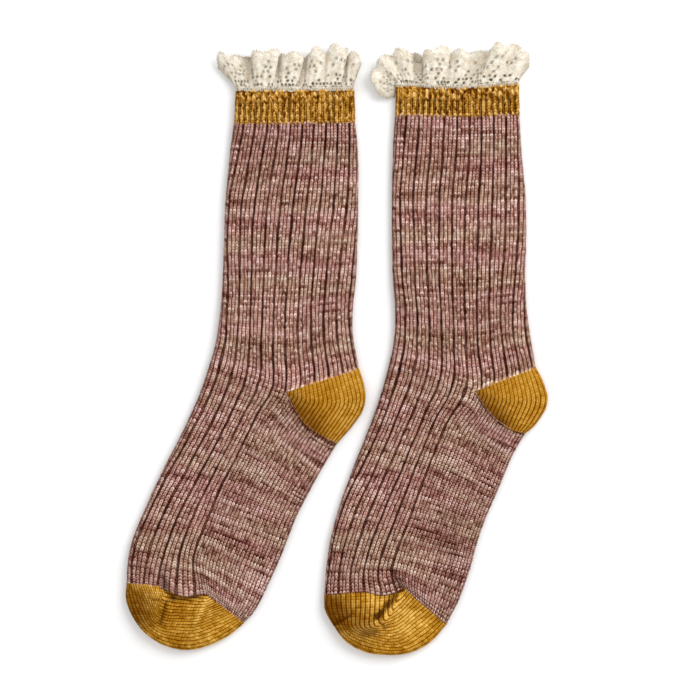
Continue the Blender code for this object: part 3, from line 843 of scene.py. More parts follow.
class LoopTree(GeometryTree):
    """Sets small loops of thread along a line, each turned and sized a little differently."""

    def __init__(self) -> None:
        """Builds the tree."""
        super().__init__("Link loops")
        source = self.node("NodeGroupInput")
        for name, kind, value in (("Loops", "NodeSocketInt", 40), ("Loop width", "NodeSocketFloat", 1.0),
                                  ("Thread", "NodeSocketFloat", 0.25), ("Unrest", "NodeSocketFloat", 0.4),
                                  ("Seed", "NodeSocketInt", 0), ("Cotton", "NodeSocketMaterial", None)):
            self.size(name, kind, value)
        line = self.join("GeometryNodeMeshToCurve", {"Mesh": source.outputs["Geometry"]})
        places = self.join("GeometryNodeResampleCurve", {"Curve": line, "Count": source.outputs["Loops"]})
        ring = self.circle(9, source.outputs["Loop width"], 0.5 * MM)
        strand = self.circle(5, source.outputs["Thread"], MM)
        loop = self.join("GeometryNodeCurveToMesh", {"Curve": ring, "Profile Curve": strand})
        turn = self.uneven((0.5, 0.0, 0.0), source, 0.0)
        scale = self.uneven((0.85, 1.5, 1.0), source, 1.0)
        loops = self.join("GeometryNodeInstanceOnPoints",
                          {"Points": places, "Instance": loop, "Rotation": turn, "Scale": scale})
        self.end(loops, source.outputs["Cotton"])

    def circle(self, corners: int, size: Socket, unit: float) -> Socket:
        """A circle whose radius is a size times a unit."""
        radius = self.math("MULTIPLY", size, unit)
        return self.join("GeometryNodeCurvePrimitiveCircle", {"Resolution": corners, "Radius": radius})

    def uneven(self, middle: Vec3, source: bpy.types.Node, shift: float) -> Socket:
        """A vector that differs from loop to loop.

        Args:
            middle: What it lies round.
            source: The tree's inputs, of which Unrest and Seed are used.
            shift: Sets these draws apart from others with the same seed.

        Returns:
            The vector.
        """
        seed = self.math("ADD", source.outputs["Seed"], shift)
        draw = self.join("FunctionNodeRandomValue", {"Min": (-1.0, -1.0, -1.0), "Max": (1.0, 1.0, 1.0),
                                                     "Seed": seed}, data_type="FLOAT_VECTOR")
        return self.vector_math("ADD", self.vector_math("SCALE", draw, source.outputs["Unrest"]), middle)


def placed(mesh: bpy.types.Mesh) -> Piece:
    """Puts a mesh into the scene, as an object of the same name at the origin."""
    piece = bpy.data.objects.new(mesh.name, mesh)
    bpy.context.scene.collection.objects.link(piece)
    return piece


def corner_points(mesh: bpy.types.Mesh) -> Array:
    """The point to which each corner of each face belongs."""
    numbers = np.empty(len(mesh.loops), dtype=np.int32)
    mesh.loops.foreach_get("vertex_index", numbers)
    return numbers


def write_uv(mesh: bpy.types.Mesh, uv: Array) -> None:
    """Writes the wale and course of each corner."""
    mesh.uv_layers.new(name=UV_NAME).uv.foreach_set("vector", uv.astype(np.float32).ravel())


def write_level(mesh: bpy.types.Mesh, name: str, values: Array) -> None:
    """Writes a number for each point."""
    mesh.attributes.new(name, "FLOAT", "POINT").data.foreach_set("value", values.astype(np.float32))


def keep_result(piece: Piece) -> None:
    """Turns what a piece's modifiers make into its own plain mesh."""
    bpy.context.view_layer.update()
    graph = bpy.context.evaluated_depsgraph_get()
    mesh = bpy.data.meshes.new_from_object(piece.evaluated_get(graph), preserve_all_data_layers=True,
                                           depsgraph=graph)
    old = piece.data
    piece.modifiers.clear()
    piece.data = mesh
    bpy.data.meshes.remove(old)
    mesh.name = piece.name


# -------- walls of cloth

@dataclass
class ClothGrid:
    """A grid of points that becomes a closed wall of cloth: outer face, inner face and rims."""

    outer: Array                     # rows x columns x 3, in mm
    inner: Array                     # the same grid, moved in
    uv: Array                        # rows x columns x 2
    levels: dict[str, Array]         # numbers for each point of the outer face
    closed: bool                     # whether the last column joins the first
    inner_rows: int = 10             # the inner face is coarse along the tube

    def build(self, name: str, origin: Vec2, relief: ReliefTree, yarn: Material, gauge: Gauge) -> Piece:
        """Makes the mesh object and raises its stitches.

        Args:
            name: The piece's name.
            origin: Where the sock's own zero lies on the floor, in mm.
            relief: The tree that raises the stitches.
            yarn: The finish.
            gauge: The knit's measures.

        Returns:
            The piece, at the origin, with its place in its mesh and nothing below the floor.
        """
        kept = np.unique(np.linspace(0, len(self.outer) - 1, self.inner_rows).round().astype(int))
        points = np.vstack([self.outer.reshape(-1, 3), self.inner[kept].reshape(-1, 3)])
        points = (points + [*origin, 0.0]) * MM
        mesh = bpy.data.meshes.new(name)
        mesh.from_pydata(points.tolist(), [], self.faces(kept))
        self.add_layers(mesh, kept, gauge)
        mesh.shade_smooth()
        piece = placed(mesh)
        relief.apply(piece, Arm_height=gauge.arm_height, Crease_depth=gauge.crease_depth,
                     Groove_depth=gauge.groove_depth, Tuck_depth=gauge.tuck_depth, Yarn=yarn)
        places = np.empty(3 * len(piece.data.vertices), dtype=np.float32)
        piece.data.vertices.foreach_get("co", places)
        places[2::3] = np.maximum(places[2::3], 0.0)
        piece.data.vertices.foreach_set("co", places)
        return piece

    def faces(self, kept: Array) -> list[list[int]]:
        """The faces of the outer side, the lining and the rims.

        Args:
            kept: The grid's rows that the lining has.

        Returns:
            The numbers of each face's points.
        """
        rows, columns, _ = self.outer.shape
        out = np.arange(rows * columns).reshape(rows, columns)
        lining = rows * columns + np.arange(len(kept) * columns).reshape(len(kept), columns)
        a = np.arange(columns if self.closed else columns - 1)
        b = (a + 1) % columns
        quads = [
            np.stack([out[:-1][:, a], out[1:][:, a], out[1:][:, b], out[:-1][:, b]], -1),
            np.stack([lining[:-1][:, a], lining[:-1][:, b], lining[1:][:, b], lining[1:][:, a]], -1),
            np.stack([out[0, a], out[0, b], lining[0, b], lining[0, a]], -1),
            np.stack([out[-1, b], out[-1, a], lining[-1, a], lining[-1, b]], -1),
        ]
        faces = np.concatenate([part.reshape(-1, 4) for part in quads]).tolist()
        if not self.closed:
            for row in range(len(kept) - 1):
                low, high = kept[row], kept[row + 1]
                near, far = lining[row], lining[row + 1]
                faces.append([*out[low:high + 1, 0][::-1].tolist(), int(near[0]), int(far[0])])
                faces.append([*out[low:high + 1, -1].tolist(), int(far[-1]), int(near[-1])])
        return faces

    def add_layers(self, mesh: bpy.types.Mesh, kept: Array, gauge: Gauge) -> None:
        """Writes the wale and course of each corner, and each point's numbers.

        Args:
            mesh: The cloth's mesh.
            kept: The grid's rows that the lining has.
            gauge: The knit's measures.
        """
        flat_uv = np.vstack([self.uv.reshape(-1, 2), self.uv[kept].reshape(-1, 2)])
        corner = corner_points(mesh)
        uv = flat_uv[corner]
        columns = self.uv.shape[1]
        if self.closed:
            column_of = corner % columns
            sides = np.empty(len(mesh.polygons), dtype=np.int32)
            mesh.polygons.foreach_get("loop_total", sides)
            face_of = np.repeat(np.arange(len(sides)), sides)
            widest = np.zeros(len(sides), dtype=np.int32)
            np.maximum.at(widest, face_of, column_of)
            wraps = (widest[face_of] == columns - 1) & (column_of == 0)
            uv[wraps, 0] += gauge.stitches
        write_uv(mesh, uv)
        # The lining is painted dark: little painted light and much painted shade.
        inside = {PAINTED_LIGHT: 0.3, PAINTED_SHADE: 0.8}
        for name, values in self.levels.items():
            lining = np.full(len(kept) * columns, inside.get(name, 0.0))
            write_level(mesh, name, np.concatenate([values.ravel(), lining]))


def stitch_unrest(knit: Array, course: Array, seed: int) -> Array:
    """A number from -1 to 1 for each stitch, alike all over one stitch."""
    rng = np.random.default_rng(seed)
    table = rng.uniform(-1, 1, (256, 128))
    return table[np.floor(course).astype(int) % 256, np.floor(knit).astype(int) % 128]


ARM_REST = 0.74            # the share of an arm's height that it keeps between two courses
ARM_UNREST = 0.3           # how much higher one stitch stands than the next
GAP_UNREST = 0.35          # how much the painted shade differs from one gap between two wales to the next
FLAT_PAINTED_LIGHT = 0.36         # the painted light of cloth that neither rises nor sinks
PAINTED_LIGHT_GAIN = 0.70         # how fast the painted light follows an arm up and a crease down


def stitch_levels(arm: Array, crest: Array, unrest: Array, groove: Array, tuck: Array,
                  gap_shade: float | Array) -> dict[str, Array]:
    """The numbers from which the relief is raised and the yarn's colour gets its painted shade and painted
    highlight.

    Args:
        arm: How much of the arms' height each point has.
        crest: 1 in the middle of a course, 0 between two.
        unrest: How far the stitch differs from the others, from -1 to 1.
        groove: How much of a groove's depth each point has.
        tuck: How much of the tuck each point has.
        gap_shade: How much painted shade the lines between two wales get, beside a groove's.

    Returns:
        A grid of numbers for each name.
    """
    raised = arm * (ARM_REST + (1 - ARM_REST) * crest) * (1 + ARM_UNREST * unrest)
    crease = (1 - crest) * (1 - np.clip(groove, 0, 1))
    # Painted shade in the gaps between wales.
    between = gap_shade * (arm == GAP) * (1 - GAP_UNREST * unrest)
    # Painted light: shade in creases, highlight on raised arms; painted shade in grooves and gaps.
    return {"arm": raised, "crease": crease, "groove": groove, "tuck": tuck,
            PAINTED_LIGHT: np.clip(FLAT_PAINTED_LIGHT + PAINTED_LIGHT_GAIN * (raised - crease), 0.0, 1.1),
            PAINTED_SHADE: np.clip(np.maximum(groove, between), 0.0, 1.0)}


class Laid(NamedTuple):
    """Where each point of a tube's grid lies."""

    row: Array             # in courses of the stretch
    knit: Array            # round the tube, counted in stitches
    place: Array           # the wale at which it ends up
    around: Array          # the same, within one turn of the tube
    back: Array            # 0 on the front half, rising to 1 at the back edge


@dataclass
class TubeKnit:
    """Lays stitches and grooves on a stretch of tube."""

    form: TubeForm
    columns: Sequence[Column]
    first: float
    last: float
    course_offset: float           # added to the course numbers, so that yarn colours run on
    seed: int
    tuck_start: float = 0.0
    lip: Lip | None = None
    bay: float = 0.0               # courses that the first rows leave free for the heel
    heel_row: float = 0.0          # how much lighter the last row at the heel's seam is
    # gap_shade: painted shade in the lines between two wales
    gap_shade: float = 0.7
    plain_from: float = UNDER_MIDDLE   # the wale from which it is plain, up to the underside's middle
    shades: Sequence[Fold] = ()    # soft patches where the colour is made darker or lighter
    stray: float = 0.14            # wales by which the columns stray over a long way
    jitter: float = 0.08           # wales by which they stray from course to course
    groove_mean: float = 0.86      # of a groove's depth, which then swings as it fades
    groove_swing: float = 0.7
    groove_limits: Vec2 = (0.25, 1.3)
    lip_fold: float = 0.9          # how deep the fold beside the lip is, in mm
    edge_shade: float = 0.3        # painted shade along the tube's folded edges
    heel_shade: float = 0.42       # painted shadow on the first rows below the heel
    toe_shade: float = 0.13        # how dark the last rows at the toe's seam are

    def grid(self) -> ClothGrid:
        """Places every point of the closed tube."""
        g = self.form.gauge
        count = round((self.last - self.first) * g.rows_a_course)
        row = np.linspace(self.first, self.last, count + 1)[:, None]
        wale, knit, climb, arm, groove = spread(self.columns, row)
        laid = self.laid(row + 0 * wale, wale, knit)
        row = laid.row
        from_end = smooth_step(0.0, 2.0, np.minimum(row - self.first, self.last - row))
        course = row + (g.end_climb + (g.arm_climb - g.end_climb) * from_end) * (climb - 0.5)
        course = course + self.bay * np.sin(np.pi * laid.back) * (1 - smooth_step(0, 17, row))
        bell, fold, lift = np.zeros(row.shape), np.zeros(row.shape), 0.0
        if self.lip is not None:
            bell, fold = self.bulge(laid)
            course = course + self.lip.reach * bell * smooth_step(self.last - 9, self.last, row)
            lift = self.lip.lift * bell * smooth_step(self.last - 7, self.last - 1, row)
            lift = lift - self.lip_fold * fold
        outer = self.form.points(laid.place, course)
        inner = self.form.points(laid.place, course, g.cloth)
        outer[..., 2] += lift
        inner[..., 2] += lift
        unrest = stitch_unrest(np.mod(knit, g.stitches), row + self.course_offset, self.seed)
        crest = np.sin(np.pi * np.clip(np.mod(row - self.first, 1.0) * 1.15, 0, 1)) ** 0.8
        tuck = self.tuck_start * (1 - smooth_step(0.0, 1.6, row - self.first))
        depth = self.groove_depth(groove, laid, unrest)
        levels = stitch_levels(arm, crest, unrest, depth, tuck, self.gap_shade)
        levels[PLAIN] = (smooth_step(-0.5, 2.5, wale - self.plain_from)
                         * (1 - smooth_step(UNDER_MIDDLE - 0.5, UNDER_MIDDLE + 1, wale)))
        self.shade(levels, laid, outer, bell, fold)
        return ClothGrid(outer, inner, np.stack([knit, row + self.course_offset], -1), levels, True)

    def laid(self, row: Array, wale: Array, knit: Array) -> Laid:
        """Where the points end up round the tube, once their wales lean and stray a little."""
        g = self.form.gauge
        place = self.form.slid(wale, row) + self.stray * waves(knit * 9.0, row * 2.0, 40.0, self.seed + 5)
        place += self.jitter * waves(knit * 11.0, row * 5.0, 19.0, self.seed + 7)
        around = np.mod(place, g.wales)
        from_front = np.where(around > g.wales / 2, g.wales - around, around)
        return Laid(row, knit, place, around, np.clip((from_front - g.quarter) / g.quarter, 0, 1))

    def groove_depth(self, groove: Array, laid: Laid, unrest: Array) -> Array:
        """How deep each groove is: less so on the side that rests flat, and fading here and there.

        Args:
            groove: How much of a groove's depth each column has.
            laid: Where each point lies.
            unrest: How far each stitch differs from the others.

        Returns:
            The share of the full depth.
        """
        g = self.form.gauge
        upper = np.clip(np.sin(laid.around / g.wales * 2 * np.pi) * 6 + 0.5, 0.0, 1.0)
        under_share = g.under_depth / g.groove_depth
        rib = self.form.values(laid.row[:, 0])[:, 7][:, None]
        swing = self.groove_swing * waves(laid.knit * 6.0, laid.row * 1.9, 60.0, self.seed + 6)
        fading = np.clip(self.groove_mean + swing + 0.25 * unrest, *self.groove_limits)
        return groove * fading * rib * (under_share + (1 - under_share) * upper)

    def bulge(self, laid: Laid) -> tuple[Array, Array]:
        """How much of the lip over the toe's seam each point has, and of the deep fold beside it."""
        off = (laid.around - self.lip.wale) / self.lip.half_width
        bell = np.clip(1 - off ** 2, 0, 1) ** 1.5
        fold = np.exp(-(off - 0.85 * self.lip.fold_side) ** 2 * 30)
        return bell, fold * smooth_step(self.last - 9, self.last - 3, laid.row)

    def shade(self, levels: dict[str, Array], laid: Laid, outer: Array, bell: Array, fold: Array) -> None:
        """Paints the cloth darker or lighter: painted shadow on the first rows below the heel, a lighter last
        row at its seam, painted shade along the folded edges and in the fold beside the lip, darker last rows
        at the toe's seam, and the soft patches of its table.

        Args:
            levels: The stitches' numbers, which are changed.
            laid: Where each point lies round and along the tube.
            outer: The same in mm.
            bell, fold: How much of the lip and of the fold beside it each point has.
        """
        by_heel = smooth_step(0.02, 0.10, laid.back)
        last_row = self.heel_row * smooth_step(self.last - 1.8, self.last - 0.9, laid.row)
        first_rows = self.heel_shade * np.sign(self.bay) * (1 - smooth_step(0.8, 3.4, laid.row))
        darker = fold_sum(self.shades, outer[..., 0], outer[..., 1], True)
        relief = np.clip(levels[PAINTED_LIGHT] + by_heel * (last_row - first_rows) - darker, 0.0, 1.35)
        # Painted shade along the folded edges.
        edge = np.exp(-(np.sin(laid.around / self.form.gauge.wales * 2 * np.pi) / 0.10) ** 2)
        painted_shade = np.maximum(levels[PAINTED_SHADE], self.edge_shade * edge)
        if self.lip is not None:
            # Painted shade in the deep fold beside the lip.
            painted_shade = np.maximum(painted_shade, 0.75 * fold)
            by_toe = smooth_step(self.last - 3.4, self.last - 1.4, laid.row)
            relief = relief - self.toe_shade * (1 - bell) * by_toe
        levels[PAINTED_LIGHT], levels[PAINTED_SHADE] = relief, painted_shade


# -------- finishes

def linear(*color: int) -> tuple[float, ...]:
    """A colour given as it looks on a screen, 0 to 255, as linear light."""
    shares = [value / 255 for value in color]
    return *(v / 12.92 if v <= 0.04045 else ((v + 0.055) / 1.055) ** 2.4 for v in shares), 1.0


class Shader(NodeWriter):
    """A material's node tree, with short ways to add what these yarns need."""

    def __init__(self, name: str, roughness: float) -> None:
        """Makes a material with its shader."""
        self.material = bpy.data.materials.new(name)
        self.material.use_nodes = True
        self.tree = self.material.node_tree
        self.surface = self.tree.nodes["Principled BSDF"]
        self.surface.inputs["Roughness"].default_value = roughness

    def total(self, start: object, *parts: tuple[object, float]) -> Socket:
        """Adds to a number how far each part lies from one half, times its weight."""
        value = start
        for part, weight in parts:
            value = self.math("ADD", value, self.math("MULTIPLY", self.math("SUBTRACT", part, 0.5), weight))
        return value

    def knit(self) -> tuple[Socket, Socket]:
        """The wale and the course of a place."""
        place = self.node("ShaderNodeUVMap", uv_map=UV_NAME)
        split = self.node("ShaderNodeSeparateXYZ")
        self.put(place.outputs["UV"], split.inputs[0])
        return split.outputs[0], split.outputs[1]

    def attribute(self, name: str) -> Socket:
        """A number kept on each point."""
        return self.node("ShaderNodeAttribute", attribute_name=name).outputs["Fac"]

    def noise(self, x: object, y: object, x_scale: float, y_scale: float, shift: float,
              detail: float = 2.0, roughness: float = 0.5) -> Socket:
        """Soft noise from 0 to 1 over wales and courses.

        Args:
            x, y: The wale and the course.
            x_scale, y_scale: How fast the noise changes along each.
            shift: Sets this noise apart from the others.
            detail: How many finer noises are added.
            roughness: How much the finer ones weigh.

        Returns:
            The noise.
        """
        place = self.join("ShaderNodeCombineXYZ", {"X": self.math("MULTIPLY", x, x_scale),
                                                   "Y": self.math("MULTIPLY", y, y_scale), "Z": shift})
        return self.cloud(place, 1.0, detail, roughness)

    def cloud(self, place: object, scale: float, detail: float = 2.0,
              roughness: float = 0.5) -> Socket:
        """Soft noise from 0 to 1 at a place."""
        return self.join("ShaderNodeTexNoise", {"Vector": place, "Scale": scale, "Detail": detail,
                                                "Roughness": roughness})

    def grain(self, x: object, y: object) -> Socket:
        """A number from 0 to 1 for each whole x and y."""
        place = self.join("ShaderNodeCombineXYZ", {"X": self.math("FLOOR", x), "Y": self.math("FLOOR", y)})
        return self.join("ShaderNodeTexWhiteNoise", {"Vector": place}, noise_dimensions="2D")

    def ramp(self, value: object, stops: Sequence[tuple[float, tuple]]) -> Socket:
        """Colours along a number."""
        node = self.node("ShaderNodeValToRGB")
        self.put(value, node.inputs["Fac"])
        elements = node.color_ramp.elements
        elements[0].position, elements[0].color = stops[0]
        elements[1].position, elements[1].color = stops[-1]
        for position, color in stops[1:-1]:
            elements.new(position).color = color
        return node.outputs["Color"]

    def mix(self, share: object, first: object, second: object, blend: str = "MIX") -> Socket:
        """Two colours mixed."""
        node = self.node("ShaderNodeMix", data_type="RGBA", blend_type=blend)
        colors = [socket for socket in node.inputs if socket.type == "RGBA"]
        self.put(share, node.inputs[0])
        self.put(first, colors[0])
        self.put(second, colors[1])
        return next(socket for socket in node.outputs if socket.type == "RGBA")

    def with_painted_light(self, color: object, relief: object, low: Sequence[float], gain: Sequence[float]) -> Socket:
        """A colour with painted shade, darker and redder, in the hollows of the cloth, and painted highlight
        on its stitches.

        Args:
            color: The yarn's colour.
            relief: How high the place stands.
            low: What is left of red, green and blue where the relief is 0.
            gain: How fast each of them rises with the relief.

        Returns:
            The colour.
        """
        return self.vector_math("MULTIPLY", color, self.vector_math("MULTIPLY_ADD", relief, gain, low))

    def bump(self, height: object, distance: float, strength: float = 1.0) -> None:
        """Raises fine grain on the surface."""
        normal = self.join("ShaderNodeBump", {"Height": height, "Distance": distance, "Strength": strength})
        self.put(normal, self.surface.inputs["Normal"])

    def fibres(self, ply: object) -> None:
        """Raises the plies of the yarn and its single fibres."""
        self.bump(self.total(0.0, (ply, 1.0), (self.cloud(self.object_place(), 2600.0), 0.5)), 0.0003, 0.8)

    def object_place(self) -> Socket:
        """Object coordinates."""
        return self.node("ShaderNodeTexCoord").outputs["Object"]

    def finish(self, color: object, sheen: float) -> Material:
        """Sets the surface's colour and its soft fibre sheen."""
        for name, value in (("Base Color", color), ("Sheen Weight", sheen), ("Sheen Roughness", 0.5),
                            ("Specular IOR Level", 0.02)):
            self.put(value, self.surface.inputs[name])
        return self.material


@dataclass(frozen=True)
class MarlYarn:
    """A wool yarn plied from maroon, rose and beige strands."""

    name: str = "marl_wool"
    dark: Rgb = (96, 52, 40)
    maroon: Rgb = (144, 100, 88)
    rose: Rgb = (186, 146, 131)
    beige: Rgb = (212, 180, 167)
    pale: Rgb = (238, 214, 204)
    # groove: the colour of the painted shade in grooves, between wales, in folds and along edges
    groove: Rgb = (38, 5, 0)

    mean: float = 0.55             # where the yarn lies on average between dark, 0, and pale, 1
    band: float = 0.5              # how much each kind of unevenness weighs: bands of courses,
    long_streak: float = 1.05      # streaks along one course of the plain side, long, middling
    streak: float = 0.75
    short_streak: float = 0.36     # and short,
    stitch: float = 0.3            # single stitches,
    arm: float = 0.34              # their arms
    ply: float = 0.7               # and the plies of the yarn

    def material(self) -> Material:
        """Builds the material: colour runs along each course, as dyed yarn does."""
        s = Shader(self.name, 0.92)
        wale, course = s.knit()
        row = s.math("FLOOR", course)
        ply = s.noise(wale, course, 3.4, 2.6, 2.0, 2.0, 0.65)
        plain = s.math("SUBTRACT", s.noise(wale, row, 0.03, 5.43, 13.0, 1.0), 0.52)
        plain = s.math("MULTIPLY", s.math("MULTIPLY", plain, s.attribute(PLAIN)), self.long_streak)
        value = s.total(s.math("ADD", plain, self.mean),
                        (s.noise(wale, course, 0.022, 0.24, 9.0, 2.0), self.band),
                        (s.noise(wale, row, 0.07, 7.31, 0.0, 1.0), self.streak),
                        (s.noise(wale, row, 0.45, 3.77, 4.0, 1.0), self.short_streak),
                        (s.grain(wale, course), self.stitch),
                        (s.grain(s.math("MULTIPLY", wale, 2.0), course), self.arm), (ply, self.ply))
        color = s.ramp(value, [
            (0.08, linear(*self.dark)), (0.30, linear(*self.maroon)), (0.50, linear(*self.rose)),
            (0.70, linear(*self.beige)), (0.92, linear(*self.pale))])
        hue = s.noise(wale, course, 0.03, 0.13, 21.0)
        warm = s.ramp(hue, [(0.36, (0.96, 1.035, 0.94, 1.0)), (0.64, (1.035, 0.96, 1.03, 1.0))])
        color = s.mix(1.0, color, warm, "MULTIPLY")
        # Painted light: the relief paints shade in the hollows and highlights on the stitches, stronger in
        # some places than others; then painted shade in grooves, between wales, in folds and along edges.
        even = s.total(1.0, (s.noise(wale, course, 0.05, 0.21, 31.0), 1.7))
        relief = s.math("ADD", s.math("MULTIPLY", s.total(0.0, (s.attribute(PAINTED_LIGHT), 1.0)), even), 0.5)
        color = s.with_painted_light(color, relief, (0.19, 0.07, 0.03), (1.12, 1.21, 1.25))
        color = s.mix(s.math("MULTIPLY", s.attribute(PAINTED_SHADE), 0.95), color, linear(*self.groove))
        s.fibres(ply)
        return s.finish(color, 0.012)


@dataclass(frozen=True)
class MustardYarn:
    """A wool yarn in one mustard dye."""

    name: str
    # deep, base and light: tones from painted shade between stitches to painted highlight on them; the noises
    # add random tone.
    deep: Rgb
    base: Rgb
    light: Rgb
    grain: float = 0.13            # how much one stitch differs from the next
    clouds: float = 0.45           # how much one place differs from another
    # groove: the colour of the painted shade in grooves, between wales, in folds and under the marl
    groove: Rgb = (74, 32, 0)

    def material(self) -> Material:
        """Builds the material: even dye, with painted shade between the stitches, in grooves and in folds,
        and painted highlight on the stitches.
        """
        s = Shader(self.name, 0.9)
        wale, course = s.knit()
        stitch = s.grain(wale, course)
        arm = s.grain(s.math("MULTIPLY", wale, 2.0), course)
        ply = s.noise(wale, course, 3.0, 2.0, 2.0, 2.0, 0.6)
        cloud = s.cloud(s.object_place(), 55.0, 3.0)
        # The painted light sets most of the tone, from painted shade near the groove colour to painted
        # highlight near the light colour.
        value = s.total(s.math("ADD", s.math("MULTIPLY", s.attribute(PAINTED_LIGHT), 0.6), 0.14),
                        (ply, 0.35), (stitch, self.grain), (arm, self.grain), (cloud, self.clouds))
        color = s.ramp(value, [(0.02, linear(*self.groove)), (0.22, linear(*self.deep)),
                               (0.55, linear(*self.base)), (0.92, linear(*self.light))])
        color = s.mix(s.math("MULTIPLY", s.attribute(PAINTED_SHADE), 0.92), color, linear(*self.groove))
        s.fibres(ply)
        return s.finish(color, 0.004)


@dataclass(frozen=True)
class CottonLace:
    """Unbleached cotton lace."""

    name: str = "cotton_lace"
    shadow: Rgb = (116, 96, 64)
    thread: Rgb = (192, 176, 148)      # the darkest threads
    base: Rgb = (228, 219, 202)
    light: Rgb = (247, 243, 234)

    def material(self) -> Material:
        """Builds the material: fine threads, darker between them, with painted shade round each eyelet and in
        the valleys between folds.
        """
        s = Shader(self.name, 0.85)
        along, up = s.knit()
        threads = s.noise(along, up, 4.0, 4.0, 0.0, 2.0, 0.7)
        tone = s.total(threads, (s.cloud(s.object_place(), 330.0, 2.0), 0.5))
        color = s.ramp(tone, [(0.34, linear(*self.thread)), (0.52, linear(*self.base)),
                              (0.68, linear(*self.light))])
        color = s.mix(s.math("MULTIPLY", s.attribute(PAINTED_SHADE), 0.75), color, linear(*self.shadow))
        s.bump(threads, 0.0004, 1.0)
        return s.finish(color, 0.05)


@dataclass(frozen=True)
class Finishes:
    """All finishes of the pair, made once."""

    marl: Material
    cuff: Material
    heel: Material
    toe: Material
    lace: Material

    @classmethod
    def make(cls) -> "Finishes":
        """Builds every material."""
        return cls(
            MarlYarn().material(),
            MustardYarn("mustard_cuff", (128, 76, 0), (203, 151, 62), (242, 205, 138), 0.36).material(),
            MustardYarn("mustard_heel", (130, 76, 0), (180, 126, 32), (224, 178, 94)).material(),
            MustardYarn("mustard_toe", (122, 70, 0), (184, 129, 30), (248, 200, 104), 0.18, 1.0).material(),
            CottonLace().material(),
        )


# -------- the sock's pieces

def declare(piece: Piece, node: str) -> None:
    """Sets a finished piece to ride on the body, and hides the solid it stands for."""
    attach(piece, BODY)
    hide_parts(node)


@dataclass
class KnittedPart:
    """A knitted part of the sock."""

    sizes: SockSizes
    yarn: Material
    relief: ReliefTree

    def dress(self, grid: ClothGrid, name: str, slot: str, node: str, gauge: Gauge = GAUGE) -> Piece:
        """Args:
            grid: Its points.
            name: What it is called in its sock.
            slot: Not used.
            node: The solid of its sock that it stands for.
            gauge: The knit's measures.

        Returns:
            The piece.
        """
        side = self.sizes.side.value
        piece = grid.build(f"{side}_{name}_knit", self.sizes.heel_point, self.relief, self.yarn, gauge)
        declare(piece, f"{side}_{node}")
        return piece


@dataclass
class LegAndFoot(KnittedPart):
    """The marl tube, knitted with three-and-one ribs, in two meshes that meet at the heel."""

    hidden_courses: float = 0.7    # of the leg, under the cuff

    def leg_columns(self) -> list[Column]:
        """Ribs all round: fine on the side that shows, coarser underneath."""
        first, fine_until = -2, 12
        return [column for rib in range(first, first + GAUGE.ribs)
                for column in rib_columns(rib, rib < fine_until)]

    def foot_columns(self) -> list[Column]:
        """Ribs on the instep and plain wales on the sole."""
        ribs, under_rib = self.sizes.instep_ribs, 15
        columns = [column for rib in range(-1, ribs - 1) for column in rib_columns(rib, True)]
        columns += rib_columns(ribs - 1, True)[:1]
        shoulder = GAUGE.first_groove + (ribs - 1) * GAUGE.rib_wales + GAUGE.groove_half
        wales, first = self.sizes.sole_wales, GAUGE.rib_wales * (ribs - 1) + 1.0
        under_wales = round(GAUGE.rib_wales * under_rib - first - wales)
        columns += plain_columns(shoulder, BACK_EDGE, wales, first, True)
        columns += plain_columns(BACK_EDGE, UNDER_MIDDLE, under_wales, first + wales, False)
        columns += [column for rib in range(under_rib, GAUGE.ribs - 1) for column in rib_columns(rib, False)]
        return columns

    def build(self) -> tuple[Piece, Piece]:
        """Makes both meshes.

        Returns:
            The leg and the foot.
        """
        s, hidden = self.sizes, self.hidden_courses
        leg = TubeForm(s.leg, None, s.foot[1], s.seed)
        last_groove = GAUGE.first_groove + GAUGE.rib_wales * (s.instep_ribs - 1)
        middle_groove = (GAUGE.first_groove + last_groove) / 2
        knots = (GAUGE.first_groove, middle_groove, last_groove, BACK_EDGE, UNDER_MIDDLE)
        foot = TubeForm(s.foot, s.leg[-2], None, s.seed, GAUGE, knots)
        leg_knit = TubeKnit(leg, self.leg_columns(), -hidden, leg.courses, hidden, s.seed, tuck_start=1.0,
                            heel_row=0.45, shades=s.shades)
        foot_knit = TubeKnit(foot, self.foot_columns(), 0.0, foot.courses, leg.courses + hidden, s.seed,
                             lip=s.toe_lip, bay=GAUGE.heel_bay, plain_from=last_groove, shades=s.shades)
        return (self.dress(leg_knit.grid(), "leg", "marl", "leg_foot"),
                self.dress(foot_knit.grid(), "foot", "marl", "leg_foot"))


